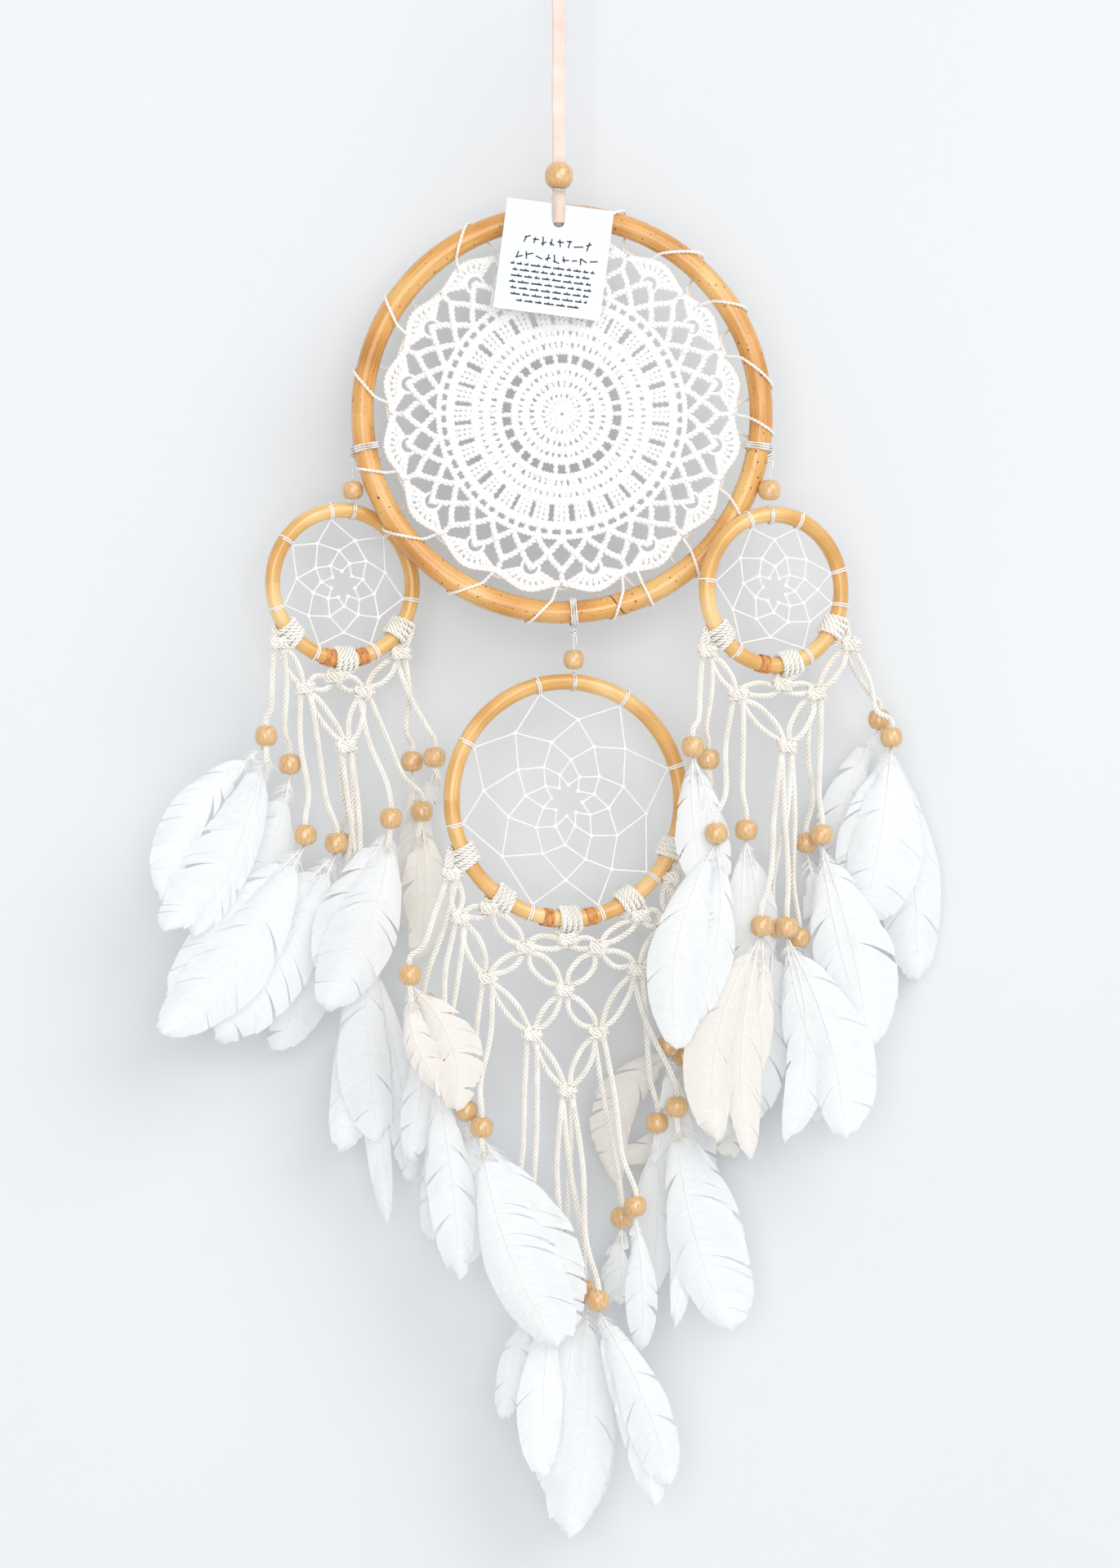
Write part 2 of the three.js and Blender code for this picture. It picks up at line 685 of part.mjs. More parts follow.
function addTassels(group) {
  strands[group.name].filter((strand) => strand.tassel).forEach((strand) => {
    const centre = beadCentre(group, strand);
    const bead = addPiece(`${strand.tassel}_bead`, beadShape(beadRadius, beadHeight, beadBore), 'bead');
    bead.position.copy(centre);
    const bottom = centre.z - beadHeight / 2;
    const across = strand.tip[0] - centre.x;
    const down = bottom - strand.tip[1];
    const slant = Math.atan2(-across, down);
    const length = Math.hypot(across, down) + quillInBead;
    const shape = featherShape(length, strand.width);
    const feather = addPiece(`${strand.tassel}_feather`, slab(shape, featherThickness), 'feather');
    feather.rotation.y = slant;
    feather.position.set(
      centre.x + quillInBead * Math.sin(slant),
      centre.y,
      bottom + quillInBead * Math.cos(slant),
    );
  });
}

addRibbon();
addTopBead();
addRibbonKnot();
addTag();
addMainHoop();
addDoily();
addLashing();
groups.forEach((group) => {
  addHanger(group);
  addHoop(group);
  addWeb(group);
  addMacrame(group);
  addTassels(group);
});

export default dreamCatcher;
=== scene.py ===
import math
import random

import bmesh
import bpy
from mathutils import Matrix, Vector


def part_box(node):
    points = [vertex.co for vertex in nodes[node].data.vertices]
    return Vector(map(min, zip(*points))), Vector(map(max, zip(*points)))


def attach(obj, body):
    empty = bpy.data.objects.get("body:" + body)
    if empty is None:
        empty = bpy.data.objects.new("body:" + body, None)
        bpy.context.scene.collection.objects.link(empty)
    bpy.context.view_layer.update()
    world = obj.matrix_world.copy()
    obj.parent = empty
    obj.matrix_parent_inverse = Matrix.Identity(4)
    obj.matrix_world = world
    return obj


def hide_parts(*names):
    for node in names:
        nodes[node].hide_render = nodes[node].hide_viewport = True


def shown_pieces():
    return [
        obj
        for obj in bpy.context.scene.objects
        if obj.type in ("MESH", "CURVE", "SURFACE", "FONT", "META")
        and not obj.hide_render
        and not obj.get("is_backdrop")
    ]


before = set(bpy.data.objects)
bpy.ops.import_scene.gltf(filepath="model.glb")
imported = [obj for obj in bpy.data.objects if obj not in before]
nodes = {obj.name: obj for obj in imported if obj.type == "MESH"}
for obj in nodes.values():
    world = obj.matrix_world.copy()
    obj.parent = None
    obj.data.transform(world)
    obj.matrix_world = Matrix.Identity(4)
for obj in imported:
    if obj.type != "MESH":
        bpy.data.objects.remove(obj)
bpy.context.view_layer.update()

mm = 0.001
scene = bpy.context.scene

# ---------------------------------------------------------------- camera and light
view = {"distance": 2.2, "centreX": 0.6, "centreZ": -431, "height": 820, "sensor": 36.0}


def addCamera():
    data = bpy.data.cameras.new("camera")
    data.sensor_width = view["sensor"]
    data.lens = view["sensor"] * view["distance"] / (view["height"] * mm)
    camera = bpy.data.objects.new("camera", data)
    scene.collection.objects.link(camera)
    camera.location = (view["centreX"] * mm, -view["distance"], view["centreZ"] * mm)
    camera.rotation_euler = (math.radians(90), 0, 0)
    scene.camera = camera


def linear(hexColour):
    # sRGB hex to linear values
    parts = [int(hexColour[i:i + 2], 16) / 255 for i in (1, 3, 5)]
    return [c / 12.92 if c <= 0.04045 else ((c + 0.055) / 1.055) ** 2.4 for c in parts] + [1.0]


def addNode(tree, kind, settings=None, links=None):
    # settings go to the node or its sockets, links feed its sockets from other nodes' outputs
    made = tree.nodes.new(kind)
    for key, value in (settings or {}).items():
        if isinstance(key, int) or key in made.inputs:
            made.inputs[key].default_value = value
        else:
            setattr(made, key, value)
    for key, source in (links or {}).items():
        tree.links.new(source, made.inputs[key])
    return made


def newMaterial(name):
    material = bpy.data.materials.new(name)
    material.use_nodes = True
    tree = material.node_tree
    tree.nodes.clear()
    out = addNode(tree, "ShaderNodeOutputMaterial")
    return material, tree, out


def ramp(tree, factor, stops):
    made = addNode(tree, "ShaderNodeValToRGB", links={"Fac": factor})
    elements = made.color_ramp.elements
    while len(elements) < len(stops):
        elements.new(0.5)
    for element, (place, colour) in zip(elements, stops):
        element.position = place
        element.color = linear(colour)
    return made.outputs["Color"]


def bump(tree, height, distance, strength=1.0):
    made = addNode(tree, "ShaderNodeBump", {"Strength": strength, "Distance": distance}, {"Height": height})
    return made.outputs["Normal"]


def objectNoise(tree, size, detail=3.0, stretch=(1, 1, 1)):
    # noise whose features are about size millimetres
    place = addNode(tree, "ShaderNodeTexCoord").outputs["Object"]
    mapped = addNode(tree, "ShaderNodeMapping", {"Scale": stretch}, {"Vector": place})
    settings = {"Scale": 1 / (size * mm), "Detail": detail}
    return addNode(tree, "ShaderNodeTexNoise", settings, {"Vector": mapped.outputs["Vector"]}).outputs["Fac"]


def rattan(name, pale, honey, dark, specks, splice=None):
    # bent rattan under clear varnish: long fibre streaks, a wet gloss, a few dark specks, and where the
    # two ends lap, a thin dark slanting line at a length along the hoop
    material, tree, out = newMaterial(name)
    along = addNode(tree, "ShaderNodeUVMap", {"uv_map": "cane"}).outputs["UV"]
    streak = addNode(tree, "ShaderNodeMapping", {"Scale": (30, 900, 1)}, {"Vector": along})
    fibre = addNode(tree, "ShaderNodeTexNoise", {"Scale": 1.0, "Detail": 4.0}, {"Vector": streak.outputs["Vector"]})
    patch = addNode(tree, "ShaderNodeTexNoise", {"Scale": 22.0, "Detail": 2.0}, {"Vector": along})
    mixed = addNode(tree, "ShaderNodeMath", {"operation": "MULTIPLY_ADD", 1: 0.45},
                    {0: fibre.outputs["Fac"], 2: patch.outputs["Fac"]})
    tone = addNode(tree, "ShaderNodeMath", {"operation": "MULTIPLY", 1: 0.69}, {0: mixed.outputs[0]})
    colour = ramp(tree, tone.outputs[0], [(0.33, dark), (0.47, honey), (0.62, pale)])
    if specks:
        spot = addNode(tree, "ShaderNodeTexNoise", {"Scale": 420.0, "Detail": 2.0}, {"Vector": along})
        spots = ramp(tree, spot.outputs["Fac"], [(0.66, "#ffffff"), (0.71, "#6b4a24")])
        blend = addNode(tree, "ShaderNodeMix", {"data_type": "RGBA", "blend_type": "MULTIPLY"})
        blend.inputs[0].default_value = 1.0
        tree.links.new(colour, blend.inputs[6])
        tree.links.new(spots, blend.inputs[7])
        colour = blend.outputs[2]
    if splice is not None:
        parts = addNode(tree, "ShaderNodeSeparateXYZ", links={"Vector": along})
        slant = addNode(tree, "ShaderNodeMath", {"operation": "MULTIPLY_ADD", 1: 0.35},
                        {0: parts.outputs["Y"], 2: parts.outputs["X"]})
        line = addNode(tree, "ShaderNodeMath", {"operation": "COMPARE", 1: splice, 2: 0.4 * mm}, {0: slant.outputs[0]})
        blend = addNode(tree, "ShaderNodeMix", {"data_type": "RGBA"})
        tree.links.new(line.outputs[0], blend.inputs[0])
        tree.links.new(colour, blend.inputs[6])
        blend.inputs[7].default_value = linear("#5c3a1a")
        colour = blend.outputs[2]
    shader = addNode(tree, "ShaderNodeBsdfPrincipled",
                     {"Roughness": 0.34, "IOR": 1.5, "Coat Weight": 0.6, "Coat Roughness": 0.12},
                     {"Base Color": colour, "Normal": bump(tree, fibre.outputs["Fac"], 0.15 * mm, 0.5)})
    tree.links.new(shader.outputs[0], out.inputs["Surface"])
    return material


def turnedWood():
    # pale turned beads, varnished: faint growth rings and a bright highlight
    material, tree, out = newMaterial("turned wood")
    grain = objectNoise(tree, 1.1, 3.0, (1, 1, 0.25))
    colour = ramp(tree, grain, [(0.3, "#cf9f62"), (0.5, "#dcb27a"), (0.7, "#e6c392")])
    shader = addNode(tree, "ShaderNodeBsdfPrincipled",
                     {"Roughness": 0.3, "IOR": 1.5, "Coat Weight": 1.0, "Coat Roughness": 0.08},
                     {"Base Color": colour})
    tree.links.new(shader.outputs[0], out.inputs["Surface"])
    return material


def yarn(name, shade, light, roughness=0.95, fuzz=0.35):
    # spun cotton: matt, a little fuzz at the edges, slightly uneven whiteness
    material, tree, out = newMaterial(name)
    broad = objectNoise(tree, 9, 2.0)
    fine = objectNoise(tree, 0.35, 2.0)
    colour = ramp(tree, broad, [(0.3, shade), (0.65, light)])
    shader = addNode(tree, "ShaderNodeBsdfPrincipled",
                     {"Roughness": roughness, "IOR": 1.45, "Sheen Weight": fuzz, "Sheen Roughness": 0.5},
                     {"Base Color": colour, "Normal": bump(tree, fine, 0.12 * mm, 0.6)})
    tree.links.new(shader.outputs[0], out.inputs["Surface"])
    return material


def silkThread():
    # twisted synthetic thread: white with a slight silvery shine
    material, tree, out = newMaterial("silvery thread")
    colour = ramp(tree, objectNoise(tree, 1.2, 1.0), [(0.35, "#dcdcda"), (0.65, "#f7f7f6")])
    shader = addNode(tree, "ShaderNodeBsdfPrincipled", {"Roughness": 0.38, "IOR": 1.5},
                     {"Base Color": colour})
    tree.links.new(shader.outputs[0], out.inputs["Surface"])
    return material


def satinRibbon():
    # woven peach ribbon: fine cross ribs, drawn coarser than real so that they show, and a soft sheen
    material, tree, out = newMaterial("peach ribbon")
    place = addNode(tree, "ShaderNodeTexCoord").outputs["Object"]
    ribs = addNode(tree, "ShaderNodeTexWave", {"Scale": 260.0, "Distortion": 0.6, "bands_direction": "Z"},
                   {"Vector": place})
    colour = ramp(tree, objectNoise(tree, 14, 2.0), [(0.3, "#e7cdbf"), (0.7, "#f2dfd4")])
    shader = addNode(tree, "ShaderNodeBsdfPrincipled",
                     {"Roughness": 0.55, "IOR": 1.5, "Sheen Weight": 0.4, "Sheen Roughness": 0.4},
                     {"Base Color": colour, "Normal": bump(tree, ribs.outputs["Fac"], 0.08 * mm, 0.5)})
    tree.links.new(shader.outputs[0], out.inputs["Surface"])
    return material


def paperCard():
    # coated white card: nearly flat, a trace of paper tooth
    material, tree, out = newMaterial("white card")
    colour = ramp(tree, objectNoise(tree, 6, 3.0), [(0.3, "#e2e5f1"), (0.7, "#eaecf6")])
    tooth = objectNoise(tree, 0.4, 2.0)
    shader = addNode(tree, "ShaderNodeBsdfPrincipled", {"Roughness": 0.55, "IOR": 1.5},
                     {"Base Color": colour, "Normal": bump(tree, tooth, 0.02 * mm, 0.4)})
    tree.links.new(shader.outputs[0], out.inputs["Surface"])
    return material


def printedInk():
    # dark grey offset ink, slightly uneven
    material, tree, out = newMaterial("printing ink")
    colour = ramp(tree, objectNoise(tree, 2, 2.0), [(0.3, "#2c2c30"), (0.7, "#45454a")])
    shader = addNode(tree, "ShaderNodeBsdfPrincipled", {"Roughness": 0.6, "IOR": 1.5}, {"Base Color": colour})
    tree.links.new(shader.outputs[0], out.inputs["Surface"])
    return material


def canePeel():
    # flat strip of cane skin wound over a splice: redder and streaked across
    material, tree, out = newMaterial("cane peel")
    colour = ramp(tree, objectNoise(tree, 1.6, 3.0, (1, 1, 0.4)),
                  [(0.3, "#b06a2c"), (0.5, "#d68f4c"), (0.7, "#e6ab6a")])
    shader = addNode(tree, "ShaderNodeBsdfPrincipled", {"Roughness": 0.42, "IOR": 1.5, "Coat Weight": 0.2},
                     {"Base Color": colour})
    tree.links.new(shader.outputs[0], out.inputs["Surface"])
    return material


def featherVane(name, shade, light):
    # white feather: silky barbs drawn as fine lines, with some light coming through
    material, tree, out = newMaterial(name)
    along = addNode(tree, "ShaderNodeUVMap", {"uv_map": "vane"}).outputs["UV"]
    split = addNode(tree, "ShaderNodeSeparateXYZ", links={"Vector": along})
    lines = addNode(tree, "ShaderNodeMapping", {"Scale": (2.5, 120, 1)}, {"Vector": along})
    barbs = addNode(tree, "ShaderNodeTexNoise", {"Scale": 1.0, "Detail": 2.0}, {"Vector": lines.outputs["Vector"]})
    # painted shade: the vane's colour greys out from the shaft towards its edge, on top of the barb lines
    tone = addNode(tree, "ShaderNodeMath", {"operation": "MULTIPLY_ADD", 1: 0.25},
                   {0: split.outputs["X"], 2: barbs.outputs["Fac"]})
    colour = ramp(tree, tone.outputs[0], [(0.4, light), (0.95, shade)])
    front = addNode(tree, "ShaderNodeBsdfPrincipled",
                    {"Roughness": 0.6, "IOR": 1.45, "Sheen Weight": 0.25, "Sheen Roughness": 0.4},
                    {"Base Color": colour, "Normal": bump(tree, barbs.outputs["Fac"], 0.25 * mm, 0.35)})
    through = addNode(tree, "ShaderNodeBsdfTranslucent", links={"Color": colour})
    both = addNode(tree, "ShaderNodeMixShader", {0: 0.3}, {1: front.outputs[0], 2: through.outputs[0]})
    tree.links.new(both.outputs[0], out.inputs["Surface"])
    return material


def featherShaft():
    # horn of a quill: ivory, smooth, a little glossy
    material, tree, out = newMaterial("quill")
    colour = ramp(tree, objectNoise(tree, 8, 1.0), [(0.3, "#f4f1ea"), (0.7, "#fcfbf8")])
    shader = addNode(tree, "ShaderNodeBsdfPrincipled", {"Roughness": 0.35, "IOR": 1.5}, {"Base Color": colour})
    tree.links.new(shader.outputs[0], out.inputs["Surface"])
    return material


finish = {
    "cane": rattan("varnished rattan", "#e9bb74", "#da9b4c", "#b5762e", True, -0.1307),
    "caneSmall": rattan("varnished rattan, small", "#efcb8c", "#dfaa5e", "#c08a42", False),
    "wood": turnedWood(),
    "cord": yarn("cotton cord", "#efe9df", "#faf7f0"),
    "doily": yarn("crochet cotton", "#f4f3f1", "#fdfcfa"),
    "web": yarn("web thread", "#eeeff0", "#fbfbfb", 0.6, 0.1),
    "thread": silkThread(),
    "ribbon": satinRibbon(),
    "card": paperCard(),
    "ink": printedInk(),
    "peel": canePeel(),
    "white": featherVane("white feather", "#eef1f4", "#fcfdfd"),
    "ivory": featherVane("ivory feather", "#f1ece4", "#fcf9f3"),
    "quill": featherShaft(),
}


# ---------------------------------------------------------------- shared shapes
def finishPiece(name, mesh, look, body, replaced=()):
    piece = bpy.data.objects.new(name, mesh)
    scene.collection.objects.link(piece)
    looks = look if isinstance(look, (list, tuple)) else [look]
    for each in looks:
        mesh.materials.append(finish[each])
    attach(piece, body)
    if replaced:
        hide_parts(*replaced)
    return piece


def fromBmesh(name, shape, look, body, replaced=(), smooth=True):
    mesh = bpy.data.meshes.new(name)
    shape.to_mesh(mesh)
    shape.free()
    if smooth:
        mesh.shade_smooth()
    return finishPiece(name, mesh, look, body, replaced)


def smoothRoute(points, step):
    # an even, smooth route through given points
    points = [Vector(p) for p in points]
    if len(points) < 3:
        count = max(2, round((points[1] - points[0]).length / step))
        return [points[0].lerp(points[1], i / count) for i in range(count + 1)]
    ends = [points[0] * 2 - points[1]] + points + [points[-1] * 2 - points[-2]]
    dense = []
    for a, b, c, d in zip(ends, ends[1:], ends[2:], ends[3:]):
        for i in range(8):
            t = i / 8
            dense.append(0.5 * ((2 * b) + (c - a) * t + (2 * a - 5 * b + 4 * c - d) * t * t
                                + (3 * b - a - 3 * c + d) * t ** 3))
    dense.append(points[-1])
    total = sum((q - p).length for p, q in zip(dense, dense[1:]))
    count = max(2, round(total / step))
    even = [dense[0]]
    want = total / count
    walked = 0.0
    for p, q in zip(dense, dense[1:]):
        gap = (q - p).length
        while walked + gap >= want and len(even) < count:
            share = (want - walked) / gap
            p = p.lerp(q, share)
            even.append(p)
            gap = (q - p).length
            walked = 0.0
        walked += gap
    even.append(dense[-1])
    return even


def plied(route, radius, plies, pitch, start=0.0):
    # the twisted plies of a cord that follows a route
    spread = radius * (0.62 if plies == 3 else 0.52)
    side = Vector((0, 1, 0))
    tracks = [[] for _ in range(plies)]
    walked = 0.0
    for i, here in enumerate(route):
        ahead = route[min(i + 1, len(route) - 1)] - route[max(i - 1, 0)]
        ahead = ahead.normalized() if ahead.length > 1e-9 else Vector((0, 0, -1))
        side = side - ahead * side.dot(ahead)
        side = side.normalized() if side.length > 1e-6 else ahead.orthogonal().normalized()
        other = ahead.cross(side)
        if i:
            walked += (here - route[i - 1]).length
        for k, track in enumerate(tracks):
            angle = start + 2 * math.pi * (walked / pitch + k / plies)
            track.append(here + side * (spread * math.cos(angle)) + other * (spread * math.sin(angle)))
    return tracks


def strandMesh(name, tracks, radius, sides=6):
    # round strands along many tracks at once
    curve = bpy.data.curves.new(name, "CURVE")
    curve.dimensions = "3D"
    curve.bevel_depth = radius
    curve.bevel_resolution = (sides - 4) // 2
    curve.use_fill_caps = True
    for track in tracks:
        spline = curve.splines.new("POLY")
        spline.points.add(len(track) - 1)
        flat = []
        for p in track:
            flat += [p[0], p[1], p[2], 1.0]
        spline.points.foreach_set("co", flat)
    holder = bpy.data.objects.new(name, curve)
    mesh = bpy.data.meshes.new_from_object(holder)
    mesh.name = name
    mesh.materials.clear()
    bpy.data.objects.remove(holder)
    bpy.data.curves.remove(curve)
    mesh.shade_smooth()
    return mesh


def cordTracks(points, radius=1.55 * mm, plies=3, pitch=7.2 * mm, step=1.0 * mm, start=0.0):
    return plied(smoothRoute(points, step), radius, plies, pitch, start)


def plyRadius(radius, plies=3):
    return radius * (0.43 if plies == 3 else 0.5)


# ---------------------------------------------------------------- the object's layout, in millimetres
mainHoop = {"x": 1.5, "z": -237.6, "radius": 104, "cane": 6}
topBead = {"z": -113, "radius": 7.5, "height": 13}
ribbon = {"width": 7, "thickness": 0.5, "gap": 0.3, "loopRadius": 3.4, "loopLength": 30}
tassel = {"radius": 6, "height": 10.6, "bore": 1.6}

groups = {
    "left": {
        "thread": (-108, 3.5), "yaw": 24, "wrap": 189.5, "knotZ": -259,
        "bead": (-277.2, 5.7, 9.5), "centre": (-113, -326.7), "radius": 39, "cane": 4,
        "anchors": [48, 101, 145, 199, 247, 297, 349], "hitches": [220, 270, 323],
        "bindings": [285.5, 258], "tie": 82,
        "rows": [[(-145.4, -357.7), (-116.7, -375.3), (-83.4, -362.3)],
                 [(-132, -381), (-102, -382.6)],
                 [(-111.2, -411.4)]],
    },
    "right": {
        "thread": (110, -3.5), "yaw": 24, "wrap": 350.5, "knotZ": -260.5,
        "bead": (-277.6, 6, 10.5), "centre": (112.6, -329.6), "radius": 39.3, "cane": 4.2,
        "anchors": [16, 69, 113, 174, 235, 299, 349], "hitches": [216, 281, 330.5],
        "bindings": [260], "tie": 94,
        "rows": [[(77, -362.3), (116.4, -379), (153.4, -357.7)],
                 [(93.3, -384.6), (135, -383.6)],
                 [(119.2, -411.4)]],
    },
    "middle": {
        "thread": (7.7, 0), "yaw": 15, "wrap": 273.4, "knotZ": -352,
        "bead": (-366, 5.5, 10), "centre": (4.3, -439.6), "radius": 62, "cane": 4.2,
        "anchors": [17, 60, 105, 151, 192, 251, 287, 319], "hitches": [207, 235, 270.4, 302, 335.5],
        "bindings": [260, 281.5], "tie": 86.8,
        "rows": [[(-55.5, -478), (-36, -495.7), (4.4, -512), (42.5, -500), (59, -480)],
                 [(-51, -501), (-17.4, -516.5), (20.7, -517), (56, -504)],
                 [(-37, -532), (2.8, -539), (41, -528.5)],
                 [(-14, -562), (20.8, -561)],
                 [(4.4, -591.6)]],
    },
}

# Free strands: the knot each leaves, its bead (x, z), how far behind its hoop's plane it hangs, the tassel's
# own name if it swings by itself, and its feathers: tip (x, z), width, sideways bend, softness, finish.
strands = {
    "left": [
        ((0, 0), (-152, -406), 0, "left_1", [(-205, -508, 34, 0.10, 0.9, "white"), (-190, -512, 28, 0.05, 0.7, "white")], 1),
        ((0, 0), (-140.5, -420.6), 8, None, [(-178, -522, 34, 0.06, 0.8, "white")], 0),
        ((1, 0), (-132, -457.5), -2, "left_2", [(-207, -561, 37, 0.04, 0.3, "white")], 0),
        ((1, 0), (-116.6, -462), 3, "left_3", [(-180, -564, 34, 0.05, 0.3, "white")], 0),
        ((2, 0), (-113.6, -462.4), 17, None, [(-150, -572, 30, 0.03, 0.4, "white")], 0),
        ((2, 0), (-108.5, -504), 8, None, [(-116, -624, 27, 0.05, 0.4, "white")], 0),
        ((2, 0), (-102, -512), 4, None, [(-78, -640, 20, 0.04, 0.4, "white"), (-91, -662, 14, -0.02, 0.3, "white")], 0),
        ((2, 0), (-98, -508), -2, None, [(-94, -618, 28, -0.04, 0.2, "white")], 0),
        ((1, 1), (-87.6, -449), -18, "left_4", [(-121, -548, 39, 0.07, 0.2, "white")], 1),
        ((1, 1), (-72.5, -445.5), 4, "left_5", [(-75, -525, 21, 0.05, 0.4, "ivory")], 1),
        ((0, 2), (-65.8, -417), 4, None, [(-82, -452, 12, 0.10, 0.8, "white")], 1),
        ((0, 2), (-78, -419), 16, None, [(-84, -505, 22, 0.04, 0.4, "ivory")], 0),
    ],
    "right": [
        ((0, 0), (69.4, -411.7), 0, None, [(79, -491, 20, -0.05, 0.4, "white")], 0),
        ((0, 0), (78, -418), 13, None, [(84, -502, 22, -0.03, 0.4, "ivory")], 1),
        ((1, 0), (81.7, -456.6), 0, "right_1", [(61, -569, 33, -0.09, 0.1, "white")], 0),
        ((1, 0), (97.8, -455), 6, None, [(101, -540, 24, -0.04, 0.3, "white")], 0),
        ((2, 0), (105.6, -505), -2, "right_2", [(82, -617, 26, -0.10, 0.1, "ivory"), (99, -626, 20, -0.06, 0.2, "ivory")], 0),
        ((2, 0), (112.3, -506.4), 12, None, [(98, -612, 24, 0.03, 0.4, "white")], 0),
        ((2, 0), (119.3, -506), 1, "right_3", [(150, -617, 37, 0.06, 0.2, "white"), (119, -618, 24, 0.10, 0.2, "white")], 0),
        ((2, 0), (126.5, -512), 16, None, [(136, -610, 22, 0.02, 0.4, "white")], 0),
        ((1, 1), (130.7, -462), 16, None, [(140, -560, 26, 0.05, 0.4, "white")], 0),
        ((1, 1), (138.3, -457.7), 2, "right_4", [(163, -569, 38, 0.03, 0.2, "white")], 0),
        ((0, 2), (170.3, -396.6), 14, None, [(191, -536, 36, 0.05, 0.2, "white"), (156, -494, 24, -0.12, 0.5, "white")], 0),
        ((0, 2), (175.8, -406.3), 0, "right_5", [(161, -504, 38, 0.02, 0.2, "white")], 0),
    ],
    "middle": [
        ((0, 0), (-77, -529.7), 0, "middle_1", [(-53, -600, 28, 0.14, 0.3, "ivory")], 1),
        ((0, 0), (-70, -545), 12, None, [(-78, -628, 22, 0.03, 0.5, "white")], 0),
        ((1, 0), (-66, -572), 6, None, [(-52, -690, 26, 0.03, 0.6, "white")], 0),
        ((1, 0), (-58, -580), 14, None, [(-66, -672, 22, 0.04, 0.6, "white")], 0),
        ((2, 0), (-48, -601.4), 8, None, [(-47, -684, 15, 0.03, 0.6, "white")], 0),
        ((2, 0), (-40, -609.3), -3, "middle_2", [(0, -723, 41, -0.06, 0.4, "white")], 1),
        ((3, 0), (-22, -650), 8, None, [(-4, -728, 24, 0.05, 0.3, "ivory")], 0),
        ((3, 0), (-12.4, -696), 10, None, [(-30, -765, 19, -0.04, 0.4, "white")], 0),
        ((4, 0), (-3.6, -693.7), 0, None, [(-8, -792, 26, -0.02, 0.3, "white")], 0),
        ((4, 0), (5, -694.7), 12, None, [(16, -815, 27, 0.02, 0.2, "white")], 0),
        ((4, 0), (13.3, -696.4), 4, "middle_3", [(5, -828, 38, 0.05, 0.3, "white")], 0),
        ((4, 0), (20.4, -700.3), -9, "middle_4", [(58, -797, 26, 0.05, 0.3, "white"), (50, -808, 22, 0.02, 0.3, "white")], 0),
        ((3, 1), (33, -660), 15, None, [(32, -708, 14, 0.02, 0.6, "white")], 0),
        ((3, 1), (40, -652.4), -2, None, [(44, -729, 17, 0.03, 0.4, "white")], 0),
        ((2, 2), (62, -601), 0, "middle_5", [(90, -718, 41, -0.05, 0.2, "white"), (61, -716, 14, 0.03, 0.4, "white")], 1),
        ((2, 2), (52, -610), 12, None, [(49, -702, 22, 0.02, 0.4, "white")], 0),
        ((1, 3), (57.6, -569), 6, None, [(62, -656, 22, 0.04, 0.5, "white")], 0),
        ((1, 3), (66, -575), 14, None, [(72, -652, 22, 0.02, 0.4, "white")], 1),
        ((0, 4), (76.3, -563), 10, None, [(31, -646, 26, -0.24, 0.9, "ivory"), (92, -629, 24, 0.03, 0.4, "ivory")], 1),
        ((0, 4), (80, -545), 0, None, [(86, -620, 20, 0.02, 0.4, "white")], 0),
    ],
}
undeclared = {"left": (4, 6), "right": (5, 8), "middle": (1, 3, 15, 17)}  # hidden strands, part of their net


def onPlane(group, x, z, behind=0.0):
    threadX, threadY = group["thread"]
    return Vector((x, threadY + (x - threadX) * math.tan(math.radians(group["yaw"])) + behind, z)) * mm


def onHoop(group, radius, degrees, out=0.0):
    # a point of the hoop's plane at a radius and angle, moved along the plane's normal
    angle = math.radians(degrees)
    local = Vector((radius * math.cos(angle), out, radius * math.sin(angle))) * mm
    return Matrix.Rotation(math.radians(group["yaw"]), 3, "Z") @ local + onPlane(group, *group["centre"])


def beadPlace(group, strand):
    return onPlane(group, strand[1][0], strand[1][1], strand[2])


def strandPoints(side, order):
    group = groups[side]
    strand = strands[side][order]
    knot = onPlane(group, *group["rows"][strand[0][0]][strand[0][1]])
    end = beadPlace(group, strand)
    lean = (-1 if order % 2 == 0 else 1) * (1.2 + 0.7 * (order % 3)) * mm
    third = knot.lerp(end, 0.35) + Vector((lean, 0, -2 * mm))
    late = knot.lerp(end, 0.7) + Vector((-0.6 * lean, 0, 0))
    low = end + Vector((0, 0, 9 * mm))
    start = knot + Vector((math.copysign(2.6 * mm, lean), 0, -2.5 * mm))
    return [start, third, late, low, end]


# ---------------------------------------------------------------- camera and cords come first
addCamera()


